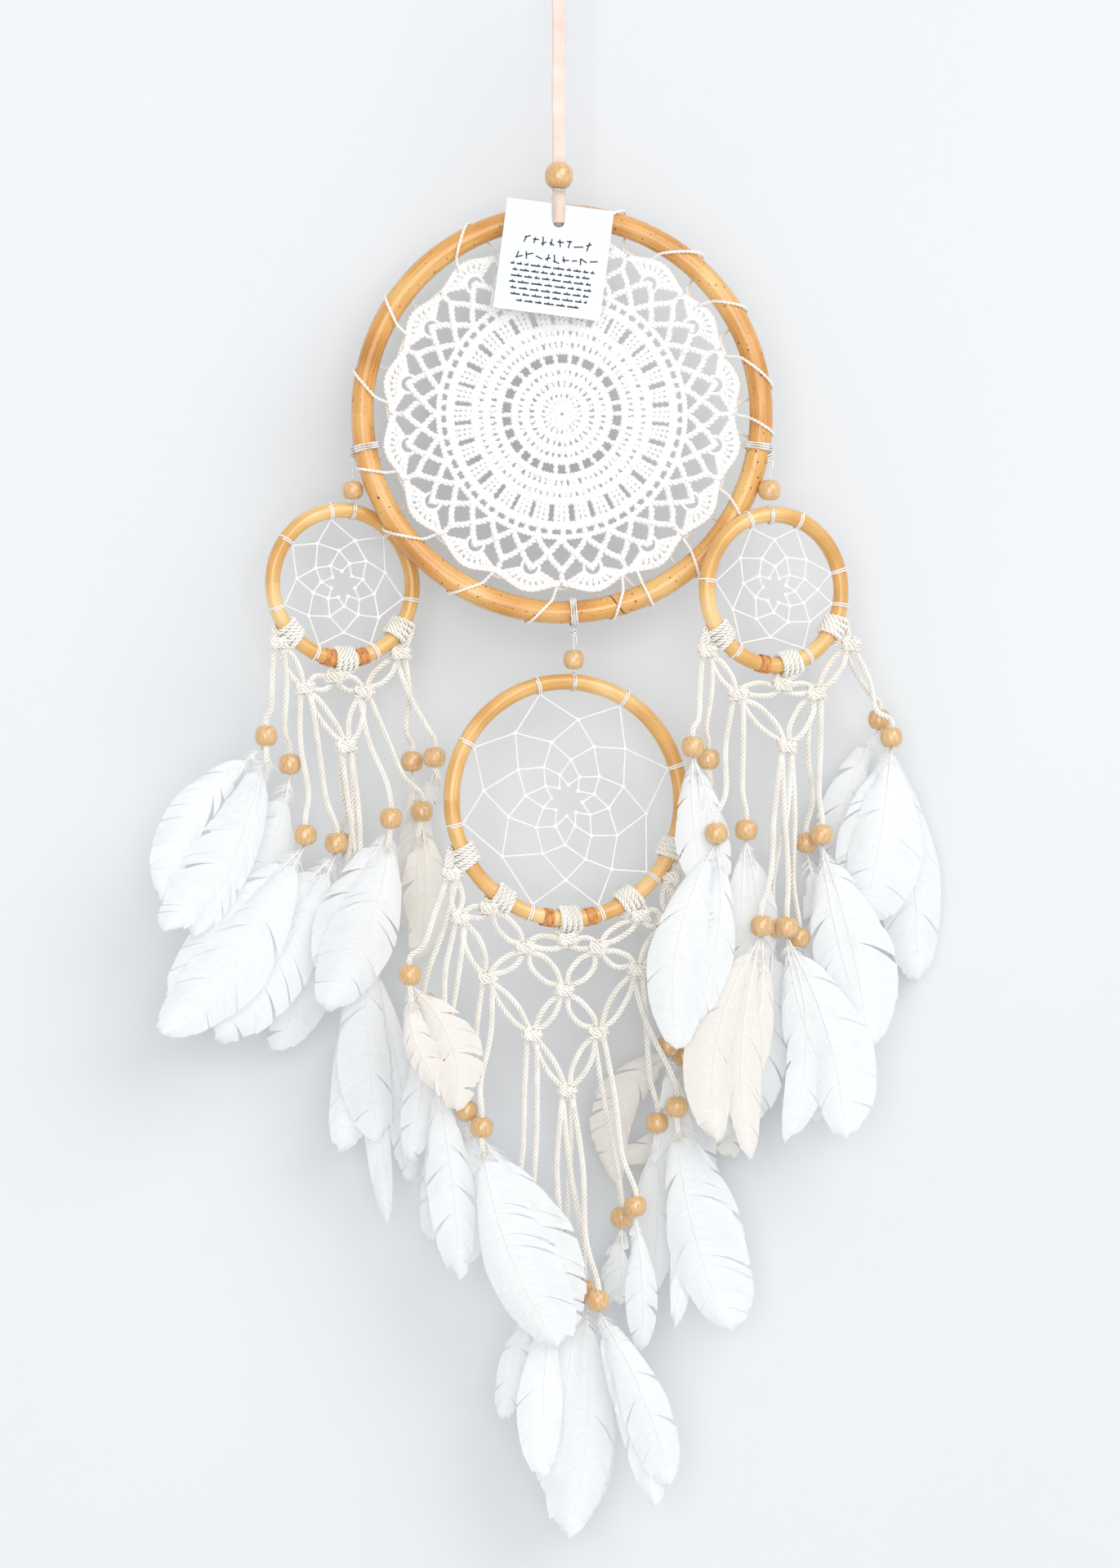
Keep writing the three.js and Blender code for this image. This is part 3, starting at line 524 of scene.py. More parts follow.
def makeRibbon():
    # two layers that meet at the knot and open into a loop at the top
    flat = ribbon["thickness"] / 2 + ribbon["gap"] / 2
    bottom = topBead["z"] - topBead["height"] / 2
    line = [(-flat, bottom), (-flat, -60), (-flat, -ribbon["loopLength"])]
    radius = ribbon["loopRadius"] - ribbon["thickness"] / 2
    for i in range(13):
        angle = math.pi - math.pi * i / 12
        line.append((radius * math.cos(angle), radius * math.sin(angle) - ribbon["loopRadius"]))
    line += [(flat, -ribbon["loopLength"]), (flat, -60), (flat, bottom)]
    shape = bmesh.new()
    corners = [shape.verts.new((-ribbon["width"] / 2 * mm, y * mm, z * mm)) for y, z in line]
    edges = [shape.edges.new(pair) for pair in zip(corners, corners[1:])]
    bmesh.ops.subdivide_edges(shape, edges=[e for e in edges if e.calc_length() > 20 * mm], cuts=12)
    made = bmesh.ops.extrude_edge_only(shape, edges=shape.edges[:])
    moved = [v for v in made["geom"] if isinstance(v, bmesh.types.BMVert)]
    bmesh.ops.translate(shape, verts=moved, vec=(ribbon["width"] * mm, 0, 0))
    across = [e for e in shape.edges if abs(e.verts[0].co.x - e.verts[1].co.x) > 1 * mm]
    bmesh.ops.subdivide_edges(shape, edges=across, cuts=5, use_grid_fill=True)
    for v in shape.verts:
        # the ribbon's face is cupped a little, and its edges stray
        wander = 0.12 * math.sin(v.co.z / (9 * mm)) * mm
        v.co.x += wander * (v.co.x / (3.5 * mm)) ** 2
        v.co.y += 0.10 * mm * math.cos(v.co.z / (14 * mm)) * (v.co.x / (3.5 * mm))
    bmesh.ops.recalc_face_normals(shape, faces=shape.faces[:])
    piece = fromBmesh("ribbon", shape, "ribbon", "ribbon", ["hanging_ribbon"])
    thick = piece.modifiers.new("thickness", "SOLIDIFY")
    thick.thickness = ribbon["thickness"] * mm
    thick.offset = 0
    return piece


def makeStrands():
    made = 0
    for side, group in groups.items():
        for order in range(len(strands[side])):
            if order in undeclared[side]:
                continue
            route = smoothRoute(strandPoints(side, order), 1.0 * mm)
            tracks = plied(route, 1.55 * mm, 3, 7.2 * mm, order)
            name = f"{side}_strand_{order + 1}"
            piece = finishPiece(name, strandMesh(name, tracks, plyRadius(1.55 * mm)), "cord", f"{side}_hoop")
            made += 1
    print("strands:", made)


def makeHangers():
    for side, group in groups.items():
        x, y = group["thread"]
        knot = Vector((x, y, group["knotZ"])) * mm
        beadZ, beadRadius, beadHeight = group["bead"]
        end = Vector((x, y, beadZ - beadHeight / 2)) * mm
        route = smoothRoute([knot, knot.lerp(end, 0.5) + Vector((0.2 * mm, 0, 0)), end], 0.7 * mm)
        tracks = plied(route, 0.6 * mm, 2, 2.6 * mm)
        # three wraps round the big hoop's cane, and the small knot outside it
        wraps = []
        ring = mainHoop["cane"] + 1.5
        for i in range(3 * 16 + 1):
            turn = 2 * math.pi * i / 16
            angle = math.radians(group["wrap"]) + ((i / 16 - 1.5) * 1.25) / mainHoop["radius"]
            radius = mainHoop["radius"] + ring * math.cos(turn)
            wraps.append(Vector((mainHoop["x"] + radius * math.cos(angle), ring * math.sin(turn),
                                 mainHoop["z"] + radius * math.sin(angle))) * mm)
        finishPiece(f"{side}_thread_wraps", strandMesh(f"{side}_thread_wraps", plied(wraps, 0.6 * mm, 2, 2.6 * mm),
                                                       plyRadius(0.6 * mm, 2)), "thread", "main_hoop")
        tracks += plied(smoothRoute([wraps[0], wraps[0].lerp(knot, 0.6), knot], 0.7 * mm), 0.6 * mm, 2, 2.6 * mm)
        for k in range(3):
            loop = []
            for i in range(15):
                turn = 2 * math.pi * i / 12
                loop.append(knot + Vector((1.3 * math.cos(turn), 1.2 * math.sin(turn),
                                           1.1 * (k - 1) + 0.5 * math.sin(turn + k))) * mm)
            tracks += plied(loop, 0.5 * mm, 2, 2.6 * mm)
        tail = smoothRoute([knot, knot + Vector((1.6, -1.2, -2.5)) * mm, knot + Vector((1.2, -1.4, -6)) * mm], 0.7 * mm)
        tracks += plied(tail, 0.4 * mm, 2, 2.2 * mm)
        name = f"{side}_thread"
        finishPiece(name, strandMesh(name, tracks, plyRadius(0.6 * mm, 2)), "thread", f"{side}_hanger",
                    [f"{side}_hanger_thread"])


ribbonPiece = makeRibbon()
makeStrands()
makeHangers()


# ---------------------------------------------------------------- macrame nets
def squareKnot(centre, flip, chance):
    # working cords that wrap tightly round two core cords, with the bar of the knot on one side
    wrap = [(-3.2, 0.9, 2.9), (-4.2, -0.9, 2.0), (-2.2, -2.9, 1.7), (1.4, -3.2, 1.5), (3.9, -1.6, 1.0), (4.0, 1.2, 0.6),
            (1.5, 2.6, 0.3), (-1.5, 2.6, 0), (-4.0, 1.2, -0.3), (-4.0, -1.4, -0.7), (-1.6, -3.2, -1.4),
            (2.0, -3.0, -1.7), (4.1, -1.0, -2.2), (3.2, 0.9, -3.1)]
    bar = [(-1.6, -0.6, 3.4), (-2.6, -3.4, 1.9), (-2.9, -4.2, 0.1), (-2.5, -3.4, -1.8), (-1.4, -0.6, -3.2)]
    loop = [(3.3, -1.4, 2.4), (3.9, -3.0, 0.9), (2.4, -3.7, -0.2), (0.3, -3.7, 0.1), (-1.2, -3.3, -0.3)]
    cores = [[(-1.5, 0, 4.2), (-1.3, 0.2, 0), (-1.6, 0, -4.2)], [(1.5, 0, 4.2), (1.3, 0.2, 0), (1.6, 0, -4.2)]]
    turn = Matrix.Rotation(chance.uniform(-0.25, 0.25), 3, "Y") * chance.uniform(0.96, 1.08)
    tracks = []
    for k, line in enumerate([wrap, bar, loop] + cores):
        placed = [centre + turn @ Vector((x * flip, y, z)) * mm for x, y, z in line]
        tracks += cordTracks(placed, start=k)
    return tracks


def cordPair(start, end, bow, chance):
    # two cords that part and meet again like the edges of a leaf
    along = (end - start).normalized()
    across = along.cross(Vector((0, 1, 0))).normalized()
    tracks = []
    for k, side in enumerate((-1, 1)):
        out = across * side * bow * chance.uniform(0.75, 1.3)
        near = start.lerp(end, chance.uniform(0.24, 0.36)) + out
        far = start.lerp(end, chance.uniform(0.64, 0.76)) + out
        front = Vector((0, -0.5 * mm * side, 0))
        tracks += cordTracks([start + across * side * 0.8 * mm, near + front, far + front,
                              end + across * side * 0.8 * mm], start=k * 2)
    return tracks


def hitch(group, degrees):
    # cord wrapped side by side round the cane
    turns = 4
    ring = group["cane"] + 1.55
    points = []
    for i in range(turns * 12 + 1):
        turn = 2 * math.pi * i / 12
        along = (i / (turns * 12) - 0.5) * 11.2
        points.append(onHoop(group, group["radius"] + ring * math.cos(turn),
                             degrees + math.degrees(along / group["radius"]), ring * math.sin(turn)))
    return plied(smoothRoute(points, 1 * mm), 1.55 * mm, 3, 7.2 * mm)


def makeNet(side):
    group = groups[side]
    chance = random.Random(len(side) * 7)
    tracks = []
    rows = group["rows"]
    for order, degrees in enumerate(group["hitches"]):
        tracks += hitch(group, degrees)
        knot = onPlane(group, *rows[0][order])
        for shift in (-4.5, 4.5):
            foot = onHoop(group, group["radius"] + group["cane"] + 1.5,
                          degrees + math.degrees(shift / group["radius"]))
            end = knot + Vector((math.copysign(1.8, foot.x - knot.x), 0, 3)) * mm
            tracks += cordPair(foot, end, 1.1 * mm, chance)
    for r, row in enumerate(rows):
        for order, (x, z) in enumerate(row):
            centre = onPlane(group, x, z)
            tracks += squareKnot(centre, 1 if chance.random() < 0.6 else -1, chance)
            if not r:
                continue
            for upper, lean in ((rows[r - 1][order], 1), (rows[r - 1][order + 1], -1)):
                start = onPlane(group, *upper) + Vector((2.2 * lean, 0, -3)) * mm
                end = centre + Vector((-2.2 * lean, 0, 3)) * mm
                tracks += cordPair(start, end, chance.uniform(2.4, 3.8) * mm, chance)
    for order in undeclared[side]:
        tracks += cordTracks(strandPoints(side, order), start=order)
    name = f"{side}_net"
    finishPiece(name, strandMesh(name, tracks, plyRadius(1.55 * mm)), "cord", f"{side}_hoop", [f"{side}_macrame"])


for side in groups:
    makeNet(side)
print("nets made")


# ---------------------------------------------------------------- cane hoops
def caneRing(name, centre, yaw, radius, cane, look, body, replaced, seed):
    # a section spun into a hoop, with the slight swellings of real cane
    shape = bmesh.new()
    bmesh.ops.create_circle(shape, segments=16, radius=cane * mm)
    bmesh.ops.translate(shape, verts=shape.verts[:], vec=(radius * mm, 0, 0))
    bmesh.ops.rotate(shape, verts=shape.verts[:], cent=(0, 0, 0), matrix=Matrix.Rotation(math.radians(90), 3, "X"))
    # the section now lies in XZ; spin it round Z, then stand the ring up
    steps = 120
    bmesh.ops.spin(shape, geom=shape.verts[:] + shape.edges[:], cent=(0, 0, 0), axis=(0, 0, 1),
                   angle=2 * math.pi, steps=steps, use_merge=True, use_duplicate=False)
    bmesh.ops.recalc_face_normals(shape, faces=shape.faces[:])
    chance = random.Random(seed)
    phases = [chance.uniform(0, 6.28) for _ in range(4)]
    layer = shape.loops.layers.uv.new("cane")

    def angles(point):
        flat = math.hypot(point.x, point.y)
        return math.atan2(point.y, point.x), math.atan2(point.z, flat - radius * mm)

    for face in shape.faces:
        middle = angles(face.calc_center_median())
        for loop in face.loops:
            place = angles(loop.vert.co)
            fixed = [p - 2 * math.pi * round((p - m) / (2 * math.pi)) for p, m in zip(place, middle)]
            loop[layer].uv = (fixed[0] * radius * mm, fixed[1] * cane * mm)
    for v in shape.verts:
        around, _ = angles(v.co)
        core = Vector((math.cos(around), math.sin(around), 0)) * radius * mm
        swell = 1 + 0.02 * math.sin(3 * around + phases[0]) + 0.015 * math.sin(7 * around + phases[1])
        v.co = core + (v.co - core) * swell
        v.co *= 1 + 0.004 * math.sin(2 * around + phases[2])
    bmesh.ops.rotate(shape, verts=shape.verts[:], cent=(0, 0, 0), matrix=Matrix.Rotation(math.radians(90), 3, "X"))
    bmesh.ops.rotate(shape, verts=shape.verts[:], cent=(0, 0, 0), matrix=Matrix.Rotation(math.radians(yaw), 3, "Z"))
    bmesh.ops.translate(shape, verts=shape.verts[:], vec=centre)
    return fromBmesh(name, shape, look, body, replaced)


mainCentre = Vector((mainHoop["x"], 0, mainHoop["z"])) * mm
caneRing("big_hoop", mainCentre, 0, mainHoop["radius"], mainHoop["cane"], "cane", "main_hoop", ["main_hoop"], 3)


def makeBinding(group, degrees, name, body, replaced):
    # a flat strip of peel wound three times over the splice
    turns = 3
    tracks = []
    ring = group["cane"] + 0.35
    for lane in range(5):
        points = []
        for i in range(turns * 14 + 1):
            turn = 2 * math.pi * i / 14
            along = (i / (turns * 14) - 0.5) * 4.6 + (lane - 2) * 0.42
            points.append(onHoop(group, group["radius"] + ring * math.cos(turn),
                                 degrees + math.degrees(along / group["radius"]), ring * math.sin(turn)))
        tracks.append(points)
    finishPiece(name, strandMesh(name, tracks, 0.34 * mm), "peel", body, replaced)


def makeSmallHoop(side, group):
    body = f"{side}_hoop"
    caneRing(f"{side}_ring", onPlane(group, *group["centre"]), group["yaw"], group["radius"], group["cane"],
             "caneSmall", body, [f"{side}_hoop"], len(side))
    for k, degrees in enumerate(group["bindings"]):
        makeBinding(group, degrees, f"{side}_binding_{k + 1}", body, [f"{side}_splice_binding"] if k == 0 else [])
    # two wraps of thread hold the hoop under its bead
    points = []
    ring = group["cane"] + 0.55
    for i in range(2 * 14 + 1):
        turn = 2 * math.pi * i / 14
        along = (i / 28 - 0.5) * 2.2
        points.append(onHoop(group, group["radius"] + ring * math.cos(turn),
                             group["tie"] + math.degrees(along / group["radius"]), ring * math.sin(turn)))
    finishPiece(f"{side}_tie", strandMesh(f"{side}_tie", plied(points, 0.55 * mm, 2, 2.6 * mm), plyRadius(0.55 * mm, 2)),
                "thread", body, [f"{side}_top_tie"])


def makeWeb(side, group):
    # one thread, looped round the cane and then through its own loops, row after row
    inside = group["radius"] - group["cane"] - 0.6
    shares = [1, 0.76, 0.56, 0.39, 0.25, 0.14] if side == "middle" else [1, 0.74, 0.52, 0.34, 0.2]
    chance = random.Random(len(side) + 40)
    angles = list(group["anchors"])
    row = [onHoop(group, inside, a) for a in angles]
    tracks = []
    for share in shares[1:]:
        count = len(angles)
        middles = []
        for i, angle in enumerate(angles):
            ahead = angles[(i + 1) % count]
            middles.append((angle + ahead + (360 if ahead < angle else 0)) / 2 + chance.uniform(-3, 3))
        inner = [onHoop(group, inside * share * chance.uniform(0.95, 1.05), a, chance.uniform(-0.6, 0.6)) for a in middles]
        zigzag = []
        for i, knot in enumerate(inner):
            zigzag += [row[i], knot]
            tracks.append([row[i], row[i].lerp(knot, 0.5), knot])
            after = row[(i + 1) % count]
            tracks.append([knot, knot.lerp(after, 0.5), after])
        for knot in inner:
            # the small loop where one row catches the next
            tracks.append([knot + Vector((0.8 * math.cos(t), 0.5 * math.sin(t), 0.8 * math.sin(t))) * mm
                           for t in [k * math.pi / 3 for k in range(7)]])
        angles, row = middles, inner
    for degrees in group["anchors"]:
        points = []
        ring = group["cane"] + 0.45
        for i in range(20):
            turn = math.pi + 2 * math.pi * i / 14
            along = (i / 19 - 0.5) * 1.6
            points.append(onHoop(group, group["radius"] + ring * math.cos(turn),
                                 degrees + math.degrees(along / group["radius"]), ring * math.sin(turn)))
        tracks.append(points)
    finishPiece(f"{side}_netting", strandMesh(f"{side}_netting", tracks, 0.42 * mm), "web", f"{side}_hoop",
                [f"{side}_web"])


for side, group in groups.items():
    makeSmallHoop(side, group)
    makeWeb(side, group)
print("hoops and webs made")


# ---------------------------------------------------------------- beads
def makeBead(name, centre, radius, height, bore, body, replaced=()):
    # a turned profile spun about the hole: a round barrel with small flats
    half = height / 2
    profile = [(bore, -half * 0.9), (bore + 0.4, -half)]
    for i in range(13):
        share = -1 + i / 6
        profile.append((radius * (1 - 0.42 * abs(share) ** 2.7), half * (share - 0.03 * share ** 9)))
    profile += [(bore + 0.4, half), (bore, half * 0.9)]
    shape = bmesh.new()
    verts = [shape.verts.new((r * mm, 0, z * mm)) for r, z in profile]
    edges = [shape.edges.new(pair) for pair in zip(verts, verts[1:])]
    edges.append(shape.edges.new((verts[-1], verts[0])))
    bmesh.ops.spin(shape, geom=verts + edges, cent=(0, 0, 0), axis=(0, 0, 1), angle=2 * math.pi, steps=24,
                   use_merge=True, use_duplicate=False)
    bmesh.ops.recalc_face_normals(shape, faces=shape.faces[:])
    bmesh.ops.translate(shape, verts=shape.verts[:], vec=centre)
    return fromBmesh(name, shape, "wood", body, replaced)


makeBead("ribbon_bead", Vector((0, 0, topBead["z"])) * mm, topBead["radius"], topBead["height"], 3.6, "top_bead",
         ["top_bead"])
for side, group in groups.items():
    z, radius, height = group["bead"]
    makeBead(f"{side}_thread_bead", Vector((*group["thread"], z)) * mm, radius, height, 1.0, f"{side}_hanger",
             [f"{side}_hanger_bead"])


# ---------------------------------------------------------------- feathers
def makeFeather(name, base, tip, width, bend, softness, look, body, replaced, seed, depth):
    # a shaft with two vanes; each vane is cut into groups of barbs that part a little at the edge
    chance = random.Random(seed)
    shaftLine = tip - base
    length = shaftLine.length
    ahead = shaftLine.normalized()
    across = ahead.cross(Vector((0, 1, 0))).normalized()
    away = Vector((0, 1, 0))
    curl = depth * mm
    half = width * mm / 2
    bare = 0.06
    blunt = chance.uniform(2.3, 3.6)

    def spine(t):
        return (base + shaftLine * t + across * (bend * length * 4 * t * (1 - t))
                + away * (curl * math.sin(math.pi * min(1, t * 1.1)) + curl * 0.6 * t * t))

    def outline(t):
        rise = min(1.0, max(0.0, (t - bare) / 0.5)) ** 0.6
        fall = max(0.0, 1 - (max(0.0, t - 0.5) / 0.5) ** blunt)
        return half * rise * fall ** 0.6

    def vanePoint(t, u, sign, lean, shift, lift, fray):
        edgeAt = min(1.0, t + 0.5 * t * (1 - t))
        root = spine(t)
        way = (spine(min(1, t + 0.02)) - spine(max(0, t - 0.02))).normalized()
        edge = spine(edgeAt) + across * (sign * lean * outline(edgeAt))
        reach = (edge - root).length
        bow = -0.10 * reach * 4 * u * (1 - u)
        return (root.lerp(edge, u) + way * (bow + (shift + fray) * u * u)
                + away * (lift * u * u + (2.4 * u * u - 0.5 * u) * mm * half / (16 * mm)))

    shape = bmesh.new()
    layer = shape.loops.layers.uv.new("vane")

    def patch(start, end, columns, rows, place):
        made = bmesh.ops.create_grid(shape, x_segments=columns, y_segments=rows, size=0.5)
        for v in made["verts"]:
            u, share = v.co.x + 0.5, v.co.y + 0.5
            t = start + (end - start) * share
            for loop in v.link_loops:
                loop[layer].uv = (u, t)
            v.co = place(t, u, share)

    narrow = chance.choice((-1, 1))
    for sign in (-1, 1):
        lean = chance.uniform(0.72, 0.9) if sign == narrow else chance.uniform(1.05, 1.25)
        t = bare + 0.02 + 0.07 * softness
        while t < 1:
            end = t + chance.uniform(0.04, 0.22) * (1.1 - 0.6 * softness)
            if end > 0.93:
                end = 1.0
            shift = chance.gauss(0, 1.5 + 2.6 * softness) * mm * (1 - 0.7 * t)
            lift = chance.gauss(0, 0.5 + 0.8 * softness) * mm
            rows = max(2, round((end - t) * length / (2.4 * mm)))
            ragged = [chance.gauss(0, 0.6) * mm for _ in range(rows + 1)]
            patch(t, end, 5, rows, lambda t, u, share: vanePoint(t, u, sign, lean, shift, lift,
                                                                 ragged[round(share * rows)]))
            t = end
        # loose down near the quill
        for _ in range(int(9 + 26 * softness)):
            at = bare * 0.6 + chance.uniform(0, 0.05 + 0.16 * softness)
            turn = math.radians(chance.uniform(25, 85))
            long = half * chance.uniform(0.35, 0.85)
            twist = chance.uniform(-2.4, 2.4) * mm
            root = spine(at)

            def downPoint(t, u, share):
                bent = turn * (1 - 0.5 * u)
                side = (share - 0.5) * 0.5 * mm * (1 - 0.7 * u)
                return (root + across * (sign * long * u * math.sin(bent)) + ahead * (long * u * math.cos(bent) + side)
                        + away * (twist * u * u) + across * (0.6 * mm * math.sin(9 * u + twist / mm)) * u)

            patch(at, at, 5, 1, downPoint)
    vaneFaces = len(shape.faces)
    # the shaft, thick at the quill and fine at the tip
    ring = bmesh.ops.create_circle(shape, segments=6, radius=0.62 * mm, cap_ends=True)["verts"]
    align = ahead.to_track_quat("Z", "Y").to_matrix()
    bmesh.ops.rotate(shape, verts=ring, cent=(0, 0, 0), matrix=align)
    last = base - ahead * 1.5 * mm
    bmesh.ops.translate(shape, verts=ring, vec=last)
    face = [f for f in shape.faces if all(v in ring for v in f.verts)][0]
    for i in range(1, 13):
        made = bmesh.ops.extrude_face_region(shape, geom=[face])
        face = [f for f in made["geom"] if isinstance(f, bmesh.types.BMFace)][0]
        here = spine(i / 12 * 0.98) - away * 0.3 * mm
        verts = list(face.verts)
        bmesh.ops.translate(shape, verts=verts, vec=here - last)
        bmesh.ops.scale(shape, verts=verts, vec=(0.86, 0.86, 0.86), space=Matrix.Translation(-here))
        last = here
    shape.faces.ensure_lookup_table()
    for f in shape.faces[vaneFaces:]:
        f.material_index = 1
    return fromBmesh(name, shape, [look, "quill"], body, replaced)


def makeFray(name, base, body, seed):
    # the cord's cut end below its bead: a short twisted stub that opens into threads
    chance = random.Random(seed)
    slant = Vector((chance.uniform(-2.5, 2.5), -2.6, -chance.uniform(6, 9))) * mm
    start = base + Vector((0, -1.2, 1.5)) * mm
    end = base + slant
    finishPiece(name, strandMesh(name, cordTracks([start, start.lerp(end, 0.5), end], start=seed),
                                 plyRadius(1.55 * mm)), "cord", body)
    threads = []
    for _ in range(22):
        foot = end + Vector((chance.uniform(-1.1, 1.1), chance.uniform(-0.9, 0.9), 0.8)) * mm
        spread = Vector((chance.gauss(0, 1.6), chance.gauss(0, 0.9), -chance.uniform(3, 6.5))) * mm
        threads.append([foot, foot + spread * 0.5 + Vector((0, 0, -0.6)) * mm, foot + spread])
    finishPiece(f"{name}_end", strandMesh(f"{name}_end", threads, 0.2 * mm, 4), "cord", body)


tilts = {"left_2": -4.0, "left_3": -3.0, "left_hidden_2": 14.0, "left_hidden_6": 4.0, "left_hidden_8": 4.0,
         "middle_3": 4.0, "middle_hidden_9": -6.0, "right_hidden_9": 15.0}


def makeTassels():
    chance = random.Random(77)
    count = 0
    for side, group in groups.items():
        for order, (start, beadAt, behind, own, feathers, fray) in enumerate(strands[side]):
            centre = beadPlace(group, strands[side][order])
            body = f"{own}_tassel" if own else f"{side}_hoop"
            label = own or f"{side}_hidden_{order + 1}"
            makeBead(f"{label}_wood_bead", centre, tassel["radius"], tassel["height"], tassel["bore"], body,
                     [f"{own}_bead"] if own else [])
            bottom = centre - Vector((0, 0, tassel["height"] / 2 * mm))
            # swinging feathers hang a little forward, the others a little back, so that they clear each other
            tilt = tilts.get(label, -2.0 if own else 8.0)
            plumes = list(feathers)
            if own or order % 3 == 0:
                tipX, tipZ, width, bend, softness, look = feathers[0]
                short = (centre.z / mm - tipZ) * chance.uniform(0.06, 0.2)
                plumes.append((tipX + chance.uniform(-7, 7), tipZ + short, width * 0.7, -bend, 0.7, look))
            for k, (tipX, tipZ, width, bend, softness, look) in enumerate(plumes):
                tip = Vector((tipX * mm, centre.y + (tilt + 2.2 * k) * mm, tipZ * mm))
                foot = bottom + Vector((0, 0.5 * k * mm, 0))
                makeFeather(f"{label}_plume_{k + 1}", foot, tip, width, bend, softness, look,
                            body, [f"{own}_feather"] if own and k == 0 else [], order * 17 + k + len(side) * 101,
                            1.2 - 1.2 * ((order * 7 + k) % 3))
                count += 1
            if fray:
                makeFray(f"{label}_fray", bottom, body, order + 5)
    print("feathers:", count)


makeTassels()


# ---------------------------------------------------------------- doily
def around(radius, degrees, out=0.0):
    angle = math.radians(degrees)
    return mainCentre + Vector((radius * math.cos(angle), out, radius * math.sin(angle))) * mm


def post(inner, outer, degrees, outerDegrees=None, wave=0.0, lean=0.0, thick=1.0):
    # one tall stitch: two plies that run out from a round to the next
    end = degrees if outerDegrees is None else outerDegrees
    middle = (degrees + end) / 2 + lean
    line = [around(inner, degrees, wave), around((inner + outer) / 2, middle, wave - 0.5), around(outer, end, wave)]
    return plied(smoothRoute(line, 1.5 * mm), thick * mm, 2, 5.2 * mm, degrees)


def chainRound(radius, stitches, seed, wave=None, share=360.0, begin=0.0):
    # the row of V stitches along the top of a round
    chance = random.Random(seed)
    tracks = []
    for k in range(2):
        line = []
        steps = stitches * 4
        for i in range(steps + 1):
            degrees = begin + share * i / steps
            swing = math.pi * i / 2 + math.pi * k
            lift = wave(degrees) if wave else 0
            line.append(around(radius + 0.85 * math.cos(swing), degrees, lift - 0.4 + 0.55 * math.sin(swing)
                               + chance.uniform(-0.1, 0.1)))
        tracks.append(line)
    return tracks


def flutter(radius):
    # the lace is not quite flat
    return lambda degrees: (radius / 94) * (1.3 * math.sin(math.radians(3 * degrees + 40))
                                            + 0.9 * math.sin(math.radians(5 * degrees)))


def makeRounds(rounds, yarnRadius, slack=0.6):
    # rounds of tall stitches: inner radius, outer radius, how many; each ends in its row of V stitches
    chance = random.Random(len(rounds) * 31 + rounds[0][2])
    tracks = []
    for inner, outer, stitches in rounds:
        wave = flutter(outer)
        for i in range(stitches):
            degrees = 360 * i / stitches + chance.uniform(-slack, slack)
            line = [around(inner, degrees, wave(degrees)),
                    around((inner + outer) / 2, degrees + 0.7, wave(degrees) - chance.uniform(0.2, 0.9)),
                    around(outer, degrees, wave(degrees))]
            tracks += plied(smoothRoute(line, 1.5 * mm), yarnRadius * mm, 2, 6.5 * mm, chance.uniform(0, 6))
        for shift in (-0.6, 0.9):
            tracks += chainRound(outer + shift, round(stitches * 0.9), stitches, wave)
    return tracks


